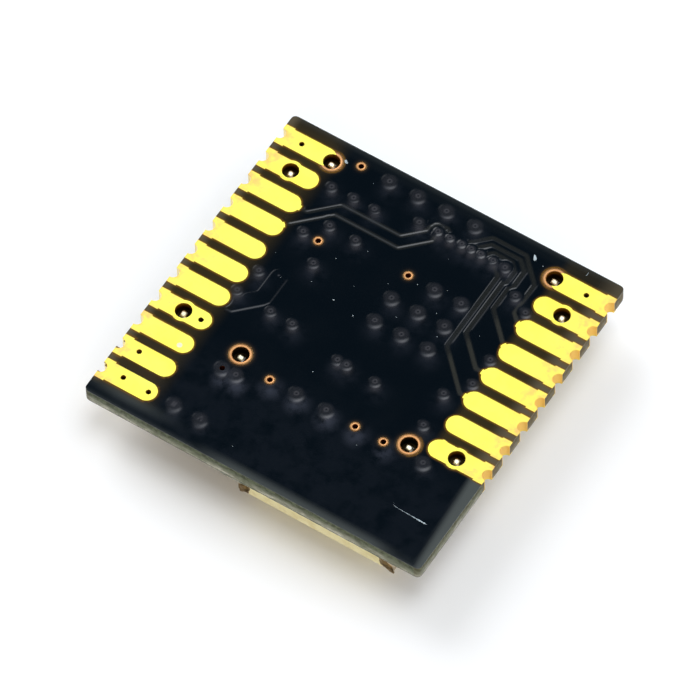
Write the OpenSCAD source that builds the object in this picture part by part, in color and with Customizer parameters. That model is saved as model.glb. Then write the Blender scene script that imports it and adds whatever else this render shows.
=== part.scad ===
// Edge-soldered radio module: a small black circuit board that lies on its shield can.
// The can's lid is on z = 0, and the soldered side of the board looks up.
// +X points to the edge with eight contacts, +Y to the far edge, -Y to the antenna edge.

/* [Board] */
// Width of the board between its two contact edges
board_w = 15.2; // [14.6:0.1:18]
// Thickness of the bare laminate
laminate_t = 0.6; // [0.4:0.05:1.2]
// Radius of the board's upright corners
corner_r = 0.2; // [0.05:0.05:0.4]
// Thickness of the solder mask film on each side
mask_t = 0.03; // [0.02:0.005:0.05]
// Room between the mask and the bare copper it goes round
mask_gap = 0.02; // [0.01:0.005:0.05]
// Thickness of the copper under the mask
copper_t = 0.02; // [0.01:0.005:0.04]
// How far the mask swells past the sides of a covered track
mask_swell = 0.04; // [0.02:0.01:0.06]

/* [Contacts] */
// Spacing of the edge contacts
pitch = 1.27; // [1.2:0.01:1.5]
// Far edge of the board to the axis of the first left contact
first_left = 1.015; // [0.9:0.005:1.4]
// Far edge of the board to the axis of the first right contact
first_right = 1.085; // [0.9:0.005:1.4]
// Axis of the last left contact to the front edge of the board
last_left = 1.185; // [0.9:0.005:3]
// Length of the left lands
land_len_left = 2.54; // [2.4:0.02:2.8]
// Length of the right lands
land_len_right = 2.64; // [2.4:0.02:2.8]
// Width of a land
land_w = 0.84; // [0.76:0.02:0.94]
// Width of a land's lip at the board's edge
lip_w = 0.95; // [0.9:0.01:1.1]
// Length of that lip
lip_len = 0.42; // [0.3:0.02:0.6]
// Thickness of a plated land
land_t = 0.04; // [0.035:0.005:0.06]
// Radius of the half-round edge notches
notch_r = 0.25; // [0.2:0.01:0.32]
// Thickness of the metal that lines holes and notches
plating_t = 0.03; // [0.02:0.005:0.05]
// Length of the short lands on the component side
front_land_len = 0.9; // [0.6:0.05:1]

/* [Vias] */
// Radius of a via's hole
via_r = 0.11; // [0.08:0.01:0.12]
// Radius of the copper ring of a ground via
via_ring_r = 0.2; // [0.16:0.01:0.21]
// Radius of the copper ring of a signal via
signal_ring_r = 0.16; // [0.14:0.01:0.17]
// Radius of the bare ring of an open via
open_ring_r = 0.21; // [0.18:0.01:0.24]
// Radius of the raised spot of mask over a ground via
via_spot_r = 0.28; // [0.24:0.01:0.32]
// Radius of the dimple in that spot
dimple_r = 0.07; // [0.05:0.01:0.08]
// Spacing of the heat vias under the radio chip
heat_via_pitch = 1.205; // [1.1:0.005:1.3]
// Spacing of the ground vias along the far edge
stitch_pitch = 1.31; // [1.2:0.01:1.35]
// Far edge of the board to that row of ground vias
stitch_inset = 0.655; // [0.55:0.005:0.7]

/* [Tracks] */
// Width of a signal track
track_w = 0.14; // [0.1:0.01:0.16]
// Width of the supply track
supply_w = 0.62; // [0.5:0.02:0.64]
// Width of the bare neck where a signal track leaves its land
neck_w = 0.24; // [0.14:0.01:0.3]
// Reach of that neck past the land's rounded tip
neck_len = 0.06; // [0.04:0.01:0.14]
// Far edge of the board to the row of signal vias
signal_row_inset = 1.625; // [1.6:0.005:1.7]
// Far edge of the board to the lane of the third left contact's track
lane_l3 = 2.565; // [2.54:0.005:2.6]
// Far edge of the board to the lane of the fourth left contact's track
lane_l4 = 3.095; // [3.05:0.005:3.12]
// Middle of the board to the lane of the supply track
supply_lane = 4.01; // [3.96:0.01:4.06]
// Rise of the supply track above the axis of its land
supply_rise = 1.98; // [1.6:0.02:2]
// Middle of the board to the lane of the third right contact's track
lane_r3 = 4.56; // [4.52:0.01:4.6]
// Middle of the board to the lane of the fourth right contact's track
lane_r4 = 3.79; // [3.76:0.01:3.82]
// Middle of the board to the lane of the fifth right contact's track
lane_r5 = 3.47; // [3.44:0.01:3.5]
// Middle of the board to the lane of the sixth right contact's track
lane_r6 = 3.16; // [3.12:0.01:3.2]
// Spacing of the signal tracks that run side by side
lane_gap = 0.29; // [0.28:0.005:0.3]
// Sidestep of the fourth and fifth right tracks
lane_jog = 0.12; // [0.1:0.01:0.14]

/* [Shield can] */
// Height of the can from its lid to the board
can_h = 1.6; // [1.45:0.05:2.5]
// Thickness of the can's sheet
can_t = 0.2; // [0.1:0.02:0.22]
// Outer radius of the fold between lid and walls
fold_r = 0.4; // [0.3:0.05:0.6]
// Left edge of the board to the middle of the can's left wall
can_inset_left = 1.31; // [1.25:0.01:1.45]
// Right edge of the board to the middle of the can's right wall
can_inset_right = 1.42; // [1.35:0.01:1.5]
// Far edge of the board to the middle of the can's far wall
can_inset_far = 1.08; // [1:0.01:1.15]
// Axis of the front side legs to the middle of the can's front wall
can_front_step = 0.5; // [0.45:0.01:0.7]
// Slit between two walls at the can's corners
can_slit = 0.12; // [0.06:0.02:0.2]
// Width of a leg of the can
leg_w = 0.28; // [0.2:0.02:0.34]
// Depth of the leg tips below the soldered face of the laminate
leg_depth = 0.25; // [0.15:0.05:0.3]
// Radius of the holes that take the legs
leg_hole_r = 0.345; // [0.3:0.005:0.36]
// Width of the copper ring round the holes at the far and front walls
leg_ring_w = 0.14; // [0.12:0.005:0.24]
// Width of the collar round the holes at the side walls
leg_collar_w = 0.14; // [0.1:0.01:0.2]
// Far legs from the tips of the first lands
far_leg_back = 0.1; // [0.05:0.01:0.2]
// Front left leg from the can's left wall
front_leg_left = 2.95; // [2.6:0.05:3.2]
// Front right leg from the can's right wall
front_leg_right = 1.87; // [1.7:0.01:2.1]
// Height of the solder round the legs
leg_solder_h = 0.2; // [0.1:0.05:0.3]

/* [Antenna] */
// Length of the chip antenna with its end caps
antenna_l = 7; // [6:0.1:7.5]
// Width of the chip antenna
antenna_w = 2; // [1.6:0.1:2.4]
// Thickness of the chip antenna
antenna_t = 0.8; // [0.6:0.05:1]
// Length of each metal end cap
antenna_cap = 0.48; // [0.3:0.02:0.7]
// Front edge of the board to the antenna
antenna_inset = 0.14; // [0.05:0.01:0.4]
// Right edge of the board to the antenna
antenna_side = 1.26; // [1:0.02:1.6]

/* [Components under the can] */
// Side of the square radio chip
chip_w = 6; // [5.6:0.1:6.2]
// Thickness of the radio chip
chip_t = 0.9; // [0.7:0.05:1]
// Spacing of the radio chip's contacts
chip_pitch = 0.5; // [0.45:0.05:0.55]
// Number of contacts on each side of the radio chip
chip_row = 10; // [6:1:10]
// Far wall of the can to the middle of the radio chip
chip_far = 4.08; // [3.9:0.02:4.2]
// Right wall of the can to the middle of the radio chip
chip_right = 4.78; // [4.7:0.02:4.9]
// Length of the crystal
crystal_l = 3.2; // [2.6:0.1:3.4]
// Width of the crystal
crystal_w = 2.5; // [2:0.1:2.7]
// Height of the crystal with its lid
crystal_h = 0.75; // [0.6:0.05:1]
// Length of the memory chip
memory_l = 3; // [2.4:0.1:3.2]
// Width of the memory chip
memory_w = 2; // [1.6:0.1:2.2]
// Height of the memory chip
memory_h = 0.6; // [0.5:0.05:0.9]
// Length of the regulator's body
regulator_l = 2.9; // [2.4:0.1:3]
// Width of the regulator's body
regulator_w = 1.5; // [1.3:0.1:1.7]
// Height of the regulator
regulator_h = 1; // [0.8:0.05:1.1]
// Length of the radio filter
filter_l = 2; // [1.6:0.1:2.2]
// Width of the radio filter
filter_w = 1.25; // [1:0.05:1.4]
// Height of the radio filter
filter_h = 0.7; // [0.5:0.05:0.95]
// Length of the small chip components
chip_part_l = 1; // [0.9:0.05:1.1]
// Width of the small chip components
chip_part_w = 0.5; // [0.4:0.05:0.6]
// Length of their metal end caps
chip_part_cap = 0.25; // [0.15:0.01:0.3]
// Height of a chip resistor
resistor_h = 0.35; // [0.25:0.05:0.5]
// Room between neighbouring components
part_gap = 0.45; // [0.4:0.01:0.5]
// How much wider and longer a land is than the end cap on it
land_border = 0.08; // [0.04:0.02:0.16]
// Length of the radio chip's contacts
chip_lead_l = 0.4; // [0.3:0.05:0.5]
// Width of the radio chip's contacts
chip_lead_w = 0.24; // [0.18:0.02:0.3]
// Thickness of the radio chip's contacts
chip_lead_t = 0.2; // [0.1:0.05:0.3]
// Radio chip's edge to the pad under its middle
chip_pad_inset = 0.9; // [0.8:0.05:1.2]
// Length of the lands under the crystal
crystal_pad_l = 1; // [0.8:0.05:1.1]
// Width of the lands under the crystal
crystal_pad_w = 0.8; // [0.6:0.05:0.9]
// Thickness of the crystal's lid
crystal_lid_t = 0.15; // [0.1:0.05:0.3]
// Rim of the crystal's base round its lid
crystal_rim = 0.15; // [0.1:0.05:0.3]
// Length of the memory chip's contacts
memory_lead_l = 0.4; // [0.3:0.05:0.6]
// Width of the memory chip's contacts
memory_lead_w = 0.25; // [0.2:0.05:0.35]
// Thickness of the memory chip's contacts
memory_lead_t = 0.15; // [0.1:0.05:0.3]
// Spacing of the memory chip's contacts
memory_pitch = 0.5; // [0.4:0.05:0.5]
// Width of the regulator's leads
regulator_lead_w = 0.4; // [0.3:0.05:0.5]
// Reach of the regulator's leads from its body
regulator_reach = 0.35; // [0.25:0.05:0.45]
// Spacing of the regulator's leads
regulator_pitch = 0.95; // [0.8:0.05:1.05]
// Thickness of the regulator's leads
lead_t = 0.12; // [0.1:0.01:0.2]
// Gap under the regulator's body
regulator_lift = 0.1; // [0.05:0.05:0.2]
// Side of the radio filter's square contacts
filter_lead = 0.3; // [0.2:0.05:0.4]
// Thickness of the radio filter's contacts
filter_lead_t = 0.12; // [0.08:0.02:0.2]

/* [Hidden] */
LEFT_COUNT = 11;
RIGHT_COUNT = 8;
board_d = first_left + (LEFT_COUNT - 1) * pitch + last_left;
edge_x = board_w / 2;
far_y = board_d / 2;
front_y = -board_d / 2;
slack = 1;
$fn = 48;

// Heights of the layers above the can's lid
front_z = can_h + mask_t;
back_z = front_z + laminate_t;
seat_z = front_z - land_t;
ridge_t = mask_t + copper_t;

// Rows of contacts, and the rounded tips of their lands
function left_y(i) = far_y - first_left - i * pitch;
function right_y(i) = far_y - first_right - i * pitch;
function left_mid_y(i) = left_y(i) - pitch / 2;
function right_mid_y(i) = right_y(i) - pitch / 2;
tip_left = -edge_x + land_len_left;
tip_right = edge_x - land_len_right;
end_left = tip_left - land_w / 2;
end_right = tip_right + land_w / 2;

// The can's walls, at the middle of the sheet
wall_left = -edge_x + can_inset_left;
wall_right = edge_x - can_inset_right;
wall_far = far_y - can_inset_far;
SIDE_LEG_ROWS = [1, 7];
wall_front = left_y(SIDE_LEG_ROWS[1]) - can_front_step;
leg_ring_r = leg_hole_r + leg_ring_w;
leg_collar_r = leg_hole_r + leg_collar_w;
leg_end_z = back_z - leg_depth;

// Leg places, each with its thin direction: 0 for a wall along Y, 90 for a wall along X
left_legs = [for (i = SIDE_LEG_ROWS) [wall_left, left_y(i)]];
right_legs = [for (i = SIDE_LEG_ROWS) [wall_right, right_y(i)]];
far_legs = [[tip_left - far_leg_back, wall_far], [tip_right + far_leg_back, wall_far]];
front_legs = [[wall_left + front_leg_left, wall_front], [wall_right - front_leg_right, wall_front]];
side_leg_places = concat(left_legs, right_legs);
row_leg_places = concat(far_legs, front_legs);
leg_places = concat(side_leg_places, row_leg_places);

// Vias inside the lands, each as its distance from the edge and its offset from the axis
LAND_VIAS_LEFT = [[[1.015, 0]], [], [], [], [], [], [], [[2.11, 0]], [], [[0.89, 0.07]],
    [[1.015, 0.04], [2.19, 0]]];
LAND_VIAS_RIGHT = [[[1.1, 0]], [], [], [], [], [], [], []];
PLUG_ROW = 8;
PLUG_PLACE = [2.04, -0.13];
plug_xy = [-edge_x + PLUG_PLACE[0], left_y(PLUG_ROW) + PLUG_PLACE[1]];

// Signal vias, from left to right
signal_y = far_y - signal_row_inset;
SIGNAL_X = [0.08, 0.63, 1.17, 1.6, 2.04, 2.6];
function signal_via(i) = [SIGNAL_X[i], signal_y];

// Tracks run straight along lanes and change lane at 45 degrees
left_lane_1 = far_y - lane_l3;
left_lane_2 = far_y - lane_l4;
SUPPLY_ROW = 6;
supply_top = left_y(SUPPLY_ROW) + supply_rise;
function climb_to_y(p, y) = [p[0] + (y - p[1]), y];
function climb_to_x(p, x) = [x, p[1] + abs(x - p[0])];

track_start_l3 = [tip_left + 0.36, left_y(2)];
track_start_l4 = [end_left + 0.05, left_y(3)];
track_start_l7 = [tip_left + 0.2, left_y(SUPPLY_ROW)];
track_start_r3 = [tip_right, right_y(2)];
track_start_r4 = [end_right - 0.2, right_y(3)];
track_start_r5 = [tip_right - 0.31, right_y(4)];
track_start_r6 = [tip_right - 0.24, right_y(5)];

ROUTE_L3 = [[end_left, left_y(2)], track_start_l3, climb_to_y(track_start_l3, left_lane_1),
    [-1.01, left_lane_1], [-0.3, left_lane_1 + 0.71], [-0.3, signal_y],
    [-0.1, signal_y + lane_gap], [0.36, signal_y + lane_gap], signal_via(1)];
ROUTE_L4 = [track_start_l4, climb_to_y(track_start_l4, left_lane_2), [-0.81, left_lane_2],
    [0.14, left_lane_2 + 0.95], signal_via(0)];
ROUTE_L7 = [[end_left, left_y(SUPPLY_ROW)], track_start_l7,
    climb_to_x(track_start_l7, -supply_lane), [-supply_lane, supply_top]];
ROUTE_R3 = [[end_right, right_y(2)], track_start_r3, climb_to_x(track_start_r3, lane_r3),
    [lane_r3, signal_y - 0.12], [lane_r5 + lane_jog, signal_y + 3 * lane_gap],
    [2.05, signal_y + 3 * lane_gap], signal_via(2)];
ROUTE_R4 = [track_start_r4, climb_to_x(track_start_r4, lane_r4), [lane_r4, signal_y - 0.83],
    [lane_r4 + lane_jog, signal_y - 0.71], [lane_r4 + lane_jog, signal_y + 0.17],
    [3.49, signal_y + 2 * lane_gap], [2.19, signal_y + 2 * lane_gap], signal_via(3)];
ROUTE_R5 = [[end_right, right_y(4)], track_start_r5, climb_to_x(track_start_r5, lane_r5),
    [lane_r5, signal_y - 0.71], [lane_r5 + lane_jog, signal_y - 0.58],
    [lane_r5 + lane_jog, signal_y - 0.01], [3.3, signal_y + lane_gap],
    [2.45, signal_y + lane_gap], [2.24, signal_y + 0.08], signal_via(4)];
ROUTE_R6 = [[end_right, right_y(5)], track_start_r6, climb_to_x(track_start_r6, lane_r6),
    [lane_r6, signal_y - 0.56], signal_via(5)];

// One entry for each contact: its track's points, or an empty list
LEFT_ROUTES = [[], [], ROUTE_L3, ROUTE_L4, [], [], ROUTE_L7, [], [], [], []];
RIGHT_ROUTES = [[], [], ROUTE_R3, ROUTE_R4, ROUTE_R5, ROUTE_R6, [], []];
signal_spot_r = signal_ring_r + mask_swell;

// Middle of the radio chip, and the vias under it and round it
chip_xy = [wall_right - chip_right, wall_far - chip_far];
HEAT_STEPS = [-1, 0, 1];
STITCH_COUNT = 5;
STITCH_X = -4.06;
stitch_y = far_y - stitch_inset;
open_heat_via = chip_xy + heat_via_pitch * [-1, 1];
heat_vias = [for (i = HEAT_STEPS, j = HEAT_STEPS) if (i != -1 || j != 1)
    chip_xy + heat_via_pitch * [i, j]];
stitch_vias = [for (i = [1:STITCH_COUNT - 1]) [STITCH_X + i * stitch_pitch, stitch_y]];

// Ground vias read from the photo: X from the board's middle, and distance from the far edge
UPPER_VIAS = [[-4.53, 2.065], [-3.53, 2.045], [-2.56, 2.055], [-0.76, 1.655], [3.16, 1.655],
    [-3.62, 3.615], [-2.41, 3.655], [-4.35, 4.385], [4.19, 2.545], [-3.23, 5.405]];
LOWER_VIAS = [[-3.44, 8.135], [-2.42, 8.175], [-0.06, 8.635], [0.35, 8.635], [1.69, 8.705],
    [4.2, 7.76], [4.3, 9.365], [-0.57, 10.755], [0.79, 10.775], [-3, 11.275]];
EDGE_VIAS = [[-4.28, 1.255], [-3.07, 1.215]];
PIERCED_VIA = [-3.6, 11.305];
edge_vias = [for (p = EDGE_VIAS) [p[0], front_y + p[1]]];
row_vias = [[4.92, right_mid_y(1)], [4.91, right_mid_y(3)], [4.91, right_mid_y(4)],
    [-4.835, left_mid_y(4) - 0.08], [-5.06, left_mid_y(5)], [5.19, right_y(7) - 0.83]];
function from_far(p) = [p[0], far_y - p[1]];
pierced_place = from_far(PIERCED_VIA);
tented_places = concat(heat_vias, stitch_vias, row_vias, edge_vias, [pierced_place],
    [for (p = UPPER_VIAS) from_far(p)], [for (p = LOWER_VIAS) from_far(p)]);

// Vias whose rings are bare of mask
OPEN_VIAS = [[-3.62, 4.455], [-1.77, 10.775], [2.13, 10.815], [3.41, 10.825]];
open_places = concat([open_heat_via, [STITCH_X, stitch_y]], [for (p = OPEN_VIAS) from_far(p)]);

// Antenna
antenna_x0 = edge_x - antenna_side - antenna_l;
antenna_y0 = front_y + antenna_inset;

// Places of the parts under the can, held from its walls
left_bay_x = wall_left + can_t / 2 + part_gap;
crystal_xy = [left_bay_x + chip_part_w / 2 + part_gap / 2 + crystal_l / 2,
    wall_far - can_t / 2 - part_gap - crystal_w / 2];
memory_xy = [crystal_xy[0], crystal_xy[1] - crystal_w / 2 - part_gap - memory_w / 2];
regulator_xy = [crystal_xy[0], memory_xy[1] - memory_w / 2 - 2 * part_gap - regulator_w / 2];
filter_xy = [chip_xy[0] - 0.2, chip_xy[1] - chip_w / 2 - part_gap - filter_w / 2];

// Small chip components: place and turn
right_bay_x = chip_xy[0] + chip_w / 2 + part_gap + chip_part_w / 2;
front_bay_y = filter_xy[1];
antenna_feed_x = antenna_x0 - 2 * part_gap - chip_part_l / 2;
antenna_mid_y = antenna_y0 + antenna_w / 2;
CAPACITORS = [for (i = [-1, 0, 1]) [right_bay_x, chip_xy[1] + i * 2 * chip_part_l, 90],
    [filter_xy[0] - filter_l / 2 - part_gap - chip_part_l, front_bay_y, 0],
    [antenna_feed_x, antenna_mid_y + 2 * chip_part_w, 0]];
RESISTORS = [[left_bay_x, memory_xy[1], 90], [left_bay_x, crystal_xy[1], 90]];
INDUCTORS = [[filter_xy[0] + filter_l / 2 + part_gap + chip_part_l / 2, front_bay_y, 0],
    [antenna_feed_x, antenna_mid_y, 0]];
small_parts = concat(CAPACITORS, RESISTORS, INDUCTORS);

function two_digits(i) = str(i < 10 ? "0" : "", i);
function left_name(i) = str("contact_left_", two_digits(i + 1));
function right_name(i) = str("contact_right_", two_digits(i + 1));

// Outline of the board with its small corner radius
module board_outline() {
    corner = [edge_x - corner_r, far_y - corner_r];
    polygon([for (q = [0:3], a = [0:30:90])
        [(q == 0 || q == 3 ? 1 : -1) * corner[0], (q < 2 ? 1 : -1) * corner[1]]
        + corner_r * [cos(q * 90 + a), sin(q * 90 + a)]]);
}

// Outline of a land that starts at the board's edge and points along +X
module land_outline(len, grow = 0, past = 0) {
    translate([-past, -land_w / 2 - grow]) square([len - land_w / 2 + past, land_w + 2 * grow]);
    translate([len - land_w / 2, 0]) circle(land_w / 2 + grow);
    translate([-past, -lip_w / 2 - grow]) square([lip_len + grow + past, lip_w + 2 * grow]);
}

// Puts a shape drawn for the left edge on a contact of either edge
module at_left(i) { translate([-edge_x, left_y(i)]) children(); }
module at_right(i) { translate([edge_x, right_y(i)]) mirror([1, 0]) children(); }

// Side points of a strip of even width along a path, mitred at its bends
function unit(v) = v / norm(v);
function heading(path, i) = unit(path[min(i + 1, len(path) - 1)] - path[min(i, len(path) - 2)]);
function bisector(path, i) = unit(heading(path, max(i - 1, 0)) + heading(path, i));
function side_point(path, i, s) = path[i] + s / (bisector(path, i) * heading(path, i))
    * [-bisector(path, i)[1], bisector(path, i)[0]];
module strip(path, w) {
    last = len(path) - 1;
    polygon(concat([for (i = [0:last]) side_point(path, i, w / 2)],
        [for (i = [last:-1:0]) side_point(path, i, -w / 2)]));
}

// The track and end via of a contact, as drawn on the board
module track_outline(path, w, ring_r, grow = 0) {
    if (len(path) > 0) {
        strip(path, w + 2 * grow);
        translate(path[len(path) - 1]) circle(ring_r + grow);
    }
}
function track_width(row, left) = left && row == SUPPLY_ROW ? supply_w : track_w;
function end_ring(row, left) = left && row == SUPPLY_ROW ? supply_w / 2 : signal_ring_r;

module all_tracks(grow = 0) {
    for (i = [0:LEFT_COUNT - 1])
        track_outline(LEFT_ROUTES[i], track_width(i, true), end_ring(i, true), grow);
    for (i = [0:RIGHT_COUNT - 1])
        track_outline(RIGHT_ROUTES[i], track_width(i, false), end_ring(i, false), grow);
}

// Bare rings round the leg holes; the narrower collar of a side leg swells its land
module leg_collar_outline(grow = 0) {
    for (p = side_leg_places) translate(p) circle(leg_collar_r + grow);
    for (p = row_leg_places) translate(p) circle(leg_ring_r + grow);
}

// The bare start of a signal track at the rounded end of its land
module neck_outline(path, land_end, grow = 0) {
    if (len(path) > 0) intersection() {
        strip(path, neck_w + 2 * grow);
        translate(land_end) circle(land_w / 2 + neck_len + grow);
    }
}
function neck_path(row, left) = left ? (row == SUPPLY_ROW ? [] : LEFT_ROUTES[row]) : RIGHT_ROUTES[row];

module back_openings() {
    for (i = [0:LEFT_COUNT - 1]) {
        at_left(i) land_outline(land_len_left, mask_gap, slack);
        neck_outline(neck_path(i, true), [end_left, left_y(i)], mask_gap);
    }
    for (i = [0:RIGHT_COUNT - 1]) {
        at_right(i) land_outline(land_len_right, mask_gap, slack);
        neck_outline(neck_path(i, false), [end_right, right_y(i)], mask_gap);
    }
    leg_collar_outline(mask_gap);
    for (p = open_places) translate(p) circle(open_ring_r + mask_gap);
}

// Rectangular lands of the parts on the component side: [x, y, width, depth]
function pair_lands(p, l, w, cap) = let (out = (l - cap) / 2, c = cos(p[2]), s = sin(p[2]))
    [for (k = [-1, 1]) [p[0] + k * out * c, p[1] + k * out * s,
        (c * cap + s * w) + land_border, (s * cap + c * w) + land_border]];
chip_pad_w = chip_w - 2 * chip_pad_inset;
function chip_lead(i, side) = let (t = (i - (chip_row - 1) / 2) * chip_pitch,
    r = chip_w / 2 - chip_lead_l / 2, a = side * 90, sideways = side % 2 == 1)
    [chip_xy[0] + r * cos(a) - t * sin(a), chip_xy[1] + r * sin(a) + t * cos(a),
        sideways ? chip_lead_w : chip_lead_l, sideways ? chip_lead_l : chip_lead_w];
chip_lead_list = [for (side = [0:3], i = [0:chip_row - 1]) chip_lead(i, side)];
crystal_pads = [for (i = [-1, 1], j = [-1, 1])
    [crystal_xy[0] + i * (crystal_l - crystal_pad_l) / 2,
     crystal_xy[1] + j * (crystal_w - crystal_pad_w) / 2, crystal_pad_l, crystal_pad_w]];
MEMORY_STEPS = [-1.5, -0.5, 0.5, 1.5];
memory_pads = [for (i = [-1, 1], j = MEMORY_STEPS)
    [memory_xy[0] + i * (memory_l - memory_lead_l) / 2, memory_xy[1] + j * memory_pitch,
     memory_lead_l, memory_lead_w]];
// Three leads on one side of the regulator and two on the other
REGULATOR_LEADS = [[-1, -1], [0, -1], [1, -1], [-1, 1], [1, 1]];
regulator_pads = [for (r = REGULATOR_LEADS)
    [regulator_xy[0] + r[0] * regulator_pitch,
     regulator_xy[1] + r[1] * (regulator_w + regulator_reach) / 2,
     regulator_lead_w, regulator_reach]];
filter_pads = [for (i = [-1, 1], j = [-1, 1])
    [filter_xy[0] + i * (filter_l - filter_lead) / 2,
     filter_xy[1] + j * (filter_w - filter_lead) / 2, filter_lead, filter_lead]];
antenna_pads = [for (x = [antenna_x0 + antenna_cap / 2, antenna_x0 + antenna_l - antenna_cap / 2])
    [x, antenna_mid_y, antenna_cap, antenna_w]];
part_pads = concat(chip_lead_list, [[chip_xy[0], chip_xy[1], chip_pad_w, chip_pad_w]],
    crystal_pads, memory_pads, regulator_pads, filter_pads, antenna_pads,
    [for (p = small_parts) each pair_lands(p, chip_part_l, chip_part_w, chip_part_cap)]);

module pad_outline(pads, grow = 0) {
    for (p = pads) translate([p[0], p[1]]) square([p[2] + 2 * grow, p[3] + 2 * grow], center = true);
}
module slab(z, h) { translate([0, 0, z]) linear_extrude(h) children(); }
module pad_blocks(pads, z, h) { slab(z, h) pad_outline(pads); }

module front_openings() {
    for (i = [0:LEFT_COUNT - 1]) at_left(i) front_land_outline(mask_gap, slack);
    for (i = [0:RIGHT_COUNT - 1]) at_right(i) front_land_outline(mask_gap, slack);
    for (p = leg_places) translate(p) circle(leg_hole_r + plating_t + mask_gap);
    pad_outline(part_pads, mask_gap);
}
module front_land_outline(grow = 0, past = 0) {
    translate([-past, -land_w / 2 - grow]) square([front_land_len + grow + past, land_w + 2 * grow]);
}

// Every hole that is drilled through the laminate, with room for its lining
land_via_places = concat(
    [for (i = [0:LEFT_COUNT - 1], v = LAND_VIAS_LEFT[i]) [-edge_x + v[0], left_y(i) + v[1]]],
    [for (i = [0:RIGHT_COUNT - 1], v = LAND_VIAS_RIGHT[i]) [edge_x - v[0], right_y(i) + v[1]]]);
track_via_places = concat([for (r = LEFT_ROUTES) if (len(r) > 0) r[len(r) - 1]],
    [for (r = RIGHT_ROUTES) if (len(r) > 0) r[len(r) - 1]]);
small_hole_places = concat(tented_places, open_places, land_via_places, track_via_places, [plug_xy]);
notch_places = concat([for (i = [0:LEFT_COUNT - 1]) [-edge_x, left_y(i)]],
    [for (i = [0:RIGHT_COUNT - 1]) [edge_x, right_y(i)]]);

module laminate() color("#6f7458") slab(front_z, laminate_t) difference() {
    board_outline();
    for (p = small_hole_places) translate(p) circle(via_r + plating_t);
    for (p = leg_places) translate(p) circle(leg_hole_r + plating_t);
    for (p = notch_places) translate(p) circle(notch_r + plating_t);
}

// Film over the soldered side, which stands up over the copper that it covers
module back_mask() color("#0b1016") difference() {
    union() {
        slab(back_z, mask_t) difference() {
            board_outline();
            back_openings();
        }
        slab(back_z, ridge_t) difference() {
            union() {
                all_tracks(mask_swell);
                for (p = tented_places) translate(p) circle(via_spot_r);
            }
            back_openings();
        }
    }
    slab(back_z - slack, slack + copper_t) {
        all_tracks();
        for (p = tented_places) translate(p) circle(via_ring_r);
    }
    slab(back_z + mask_t, slack)
        for (p = concat(tented_places, track_via_places)) translate(p) circle(dimple_r);
    slab(back_z - slack, 2 * slack) translate(pierced_place) circle(via_r);
}

module front_mask() color("#0b1016") slab(front_z - mask_t, mask_t) difference() {
    board_outline();
    front_openings();
}

// A lined hole with a ring on the soldered side
module via_eyelet(ring_r, ring_t) difference() {
    union() {
        translate([0, 0, front_z]) cylinder(r = via_r + plating_t, h = laminate_t + ring_t);
        translate([0, 0, back_z]) cylinder(r = ring_r, h = ring_t);
    }
    translate([0, 0, front_z - slack]) cylinder(r = via_r, h = laminate_t + 2 * slack);
}

module tented_vias() color("#a8653c")
    for (p = tented_places) translate(p) via_eyelet(via_ring_r, copper_t);

module open_vias() color("#d39268")
    for (p = open_places) translate(p) via_eyelet(open_ring_r, mask_t);

// Solder that fills one of the vias in a land
module via_plug() color("#d8d8d4")
    translate([plug_xy[0], plug_xy[1], front_z]) cylinder(r = via_r, h = laminate_t + land_t);

// Lined leg hole in a ring of bare copper
module leg_sleeve(p) color("#c98a5c") translate([p[0], p[1], front_z]) difference() {
    union() {
        cylinder(r = leg_hole_r + plating_t, h = laminate_t + mask_t);
        translate([0, 0, laminate_t]) cylinder(r = leg_ring_r, h = mask_t);
    }
    translate([0, 0, -slack]) cylinder(r = leg_hole_r, h = laminate_t + 2 * slack);
}

module leg_sleeve_left() { leg_sleeve(front_legs[0]); }
module leg_sleeve_right() { leg_sleeve(front_legs[1]); }

// A contact: its land, lined half-round notch, short front land, track and lined holes.
// Holes and route are in the board's frame; the land is drawn from the edge inwards.
module contact(edge, y, side, len, vias, legs, collar_r, path, w, ring_r, neck) {
    color("#e8c64a") difference() {
        union() {
            translate([edge, y]) mirror([side > 0 ? 1 : 0, 0]) {
                slab(back_z, land_t) land_outline(len);
                slab(seat_z, land_t) front_land_outline();
                slab(seat_z, back_z - seat_z + land_t) intersection() {
                    circle(notch_r + plating_t);
                    translate([0, -slack]) square([slack, 2 * slack]);
                }
            }
            if (len(path) > 0) {
                slab(back_z, copper_t) track_outline(path, w, ring_r);
                slab(back_z, land_t) neck_outline(neck, [edge - side * (len - land_w / 2), y]);
                track_end = path[len(path) - 1];
                translate([track_end[0], track_end[1], front_z])
                    cylinder(r = via_r + plating_t, h = laminate_t + copper_t);
            }
            for (p = vias) translate([p[0], p[1], front_z])
                cylinder(r = via_r + plating_t, h = laminate_t + land_t);
            for (p = legs) {
                translate([p[0], p[1], front_z])
                    cylinder(r = leg_hole_r + plating_t, h = laminate_t + copper_t);
                translate([p[0], p[1], back_z]) cylinder(r = collar_r, h = mask_t);
            }
        }
        translate([edge, y, 0]) cylinder(r = notch_r, h = back_z + slack);
        for (p = vias) translate([p[0], p[1], front_z - slack]) cylinder(r = via_r, h = 3 * slack);
        for (p = legs) translate([p[0], p[1], front_z - slack])
            cylinder(r = leg_hole_r, h = 3 * slack);
        if (len(path) > 0) {
            track_end = path[len(path) - 1];
            translate([track_end[0], track_end[1], front_z - slack]) cylinder(r = via_r, h = 3 * slack);
        }
    }
}

function left_contact_legs(i) = i == 0 ? [far_legs[0]] : i == SIDE_LEG_ROWS[0] ? [left_legs[0]]
    : i == SIDE_LEG_ROWS[1] ? [left_legs[1]] : [];
function right_contact_legs(i) = i == 0 ? [far_legs[1]] : i == SIDE_LEG_ROWS[0] ? [right_legs[0]]
    : i == SIDE_LEG_ROWS[1] ? [right_legs[1]] : [];
function collar_of(i) = i == 0 ? leg_ring_r : leg_collar_r;

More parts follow.
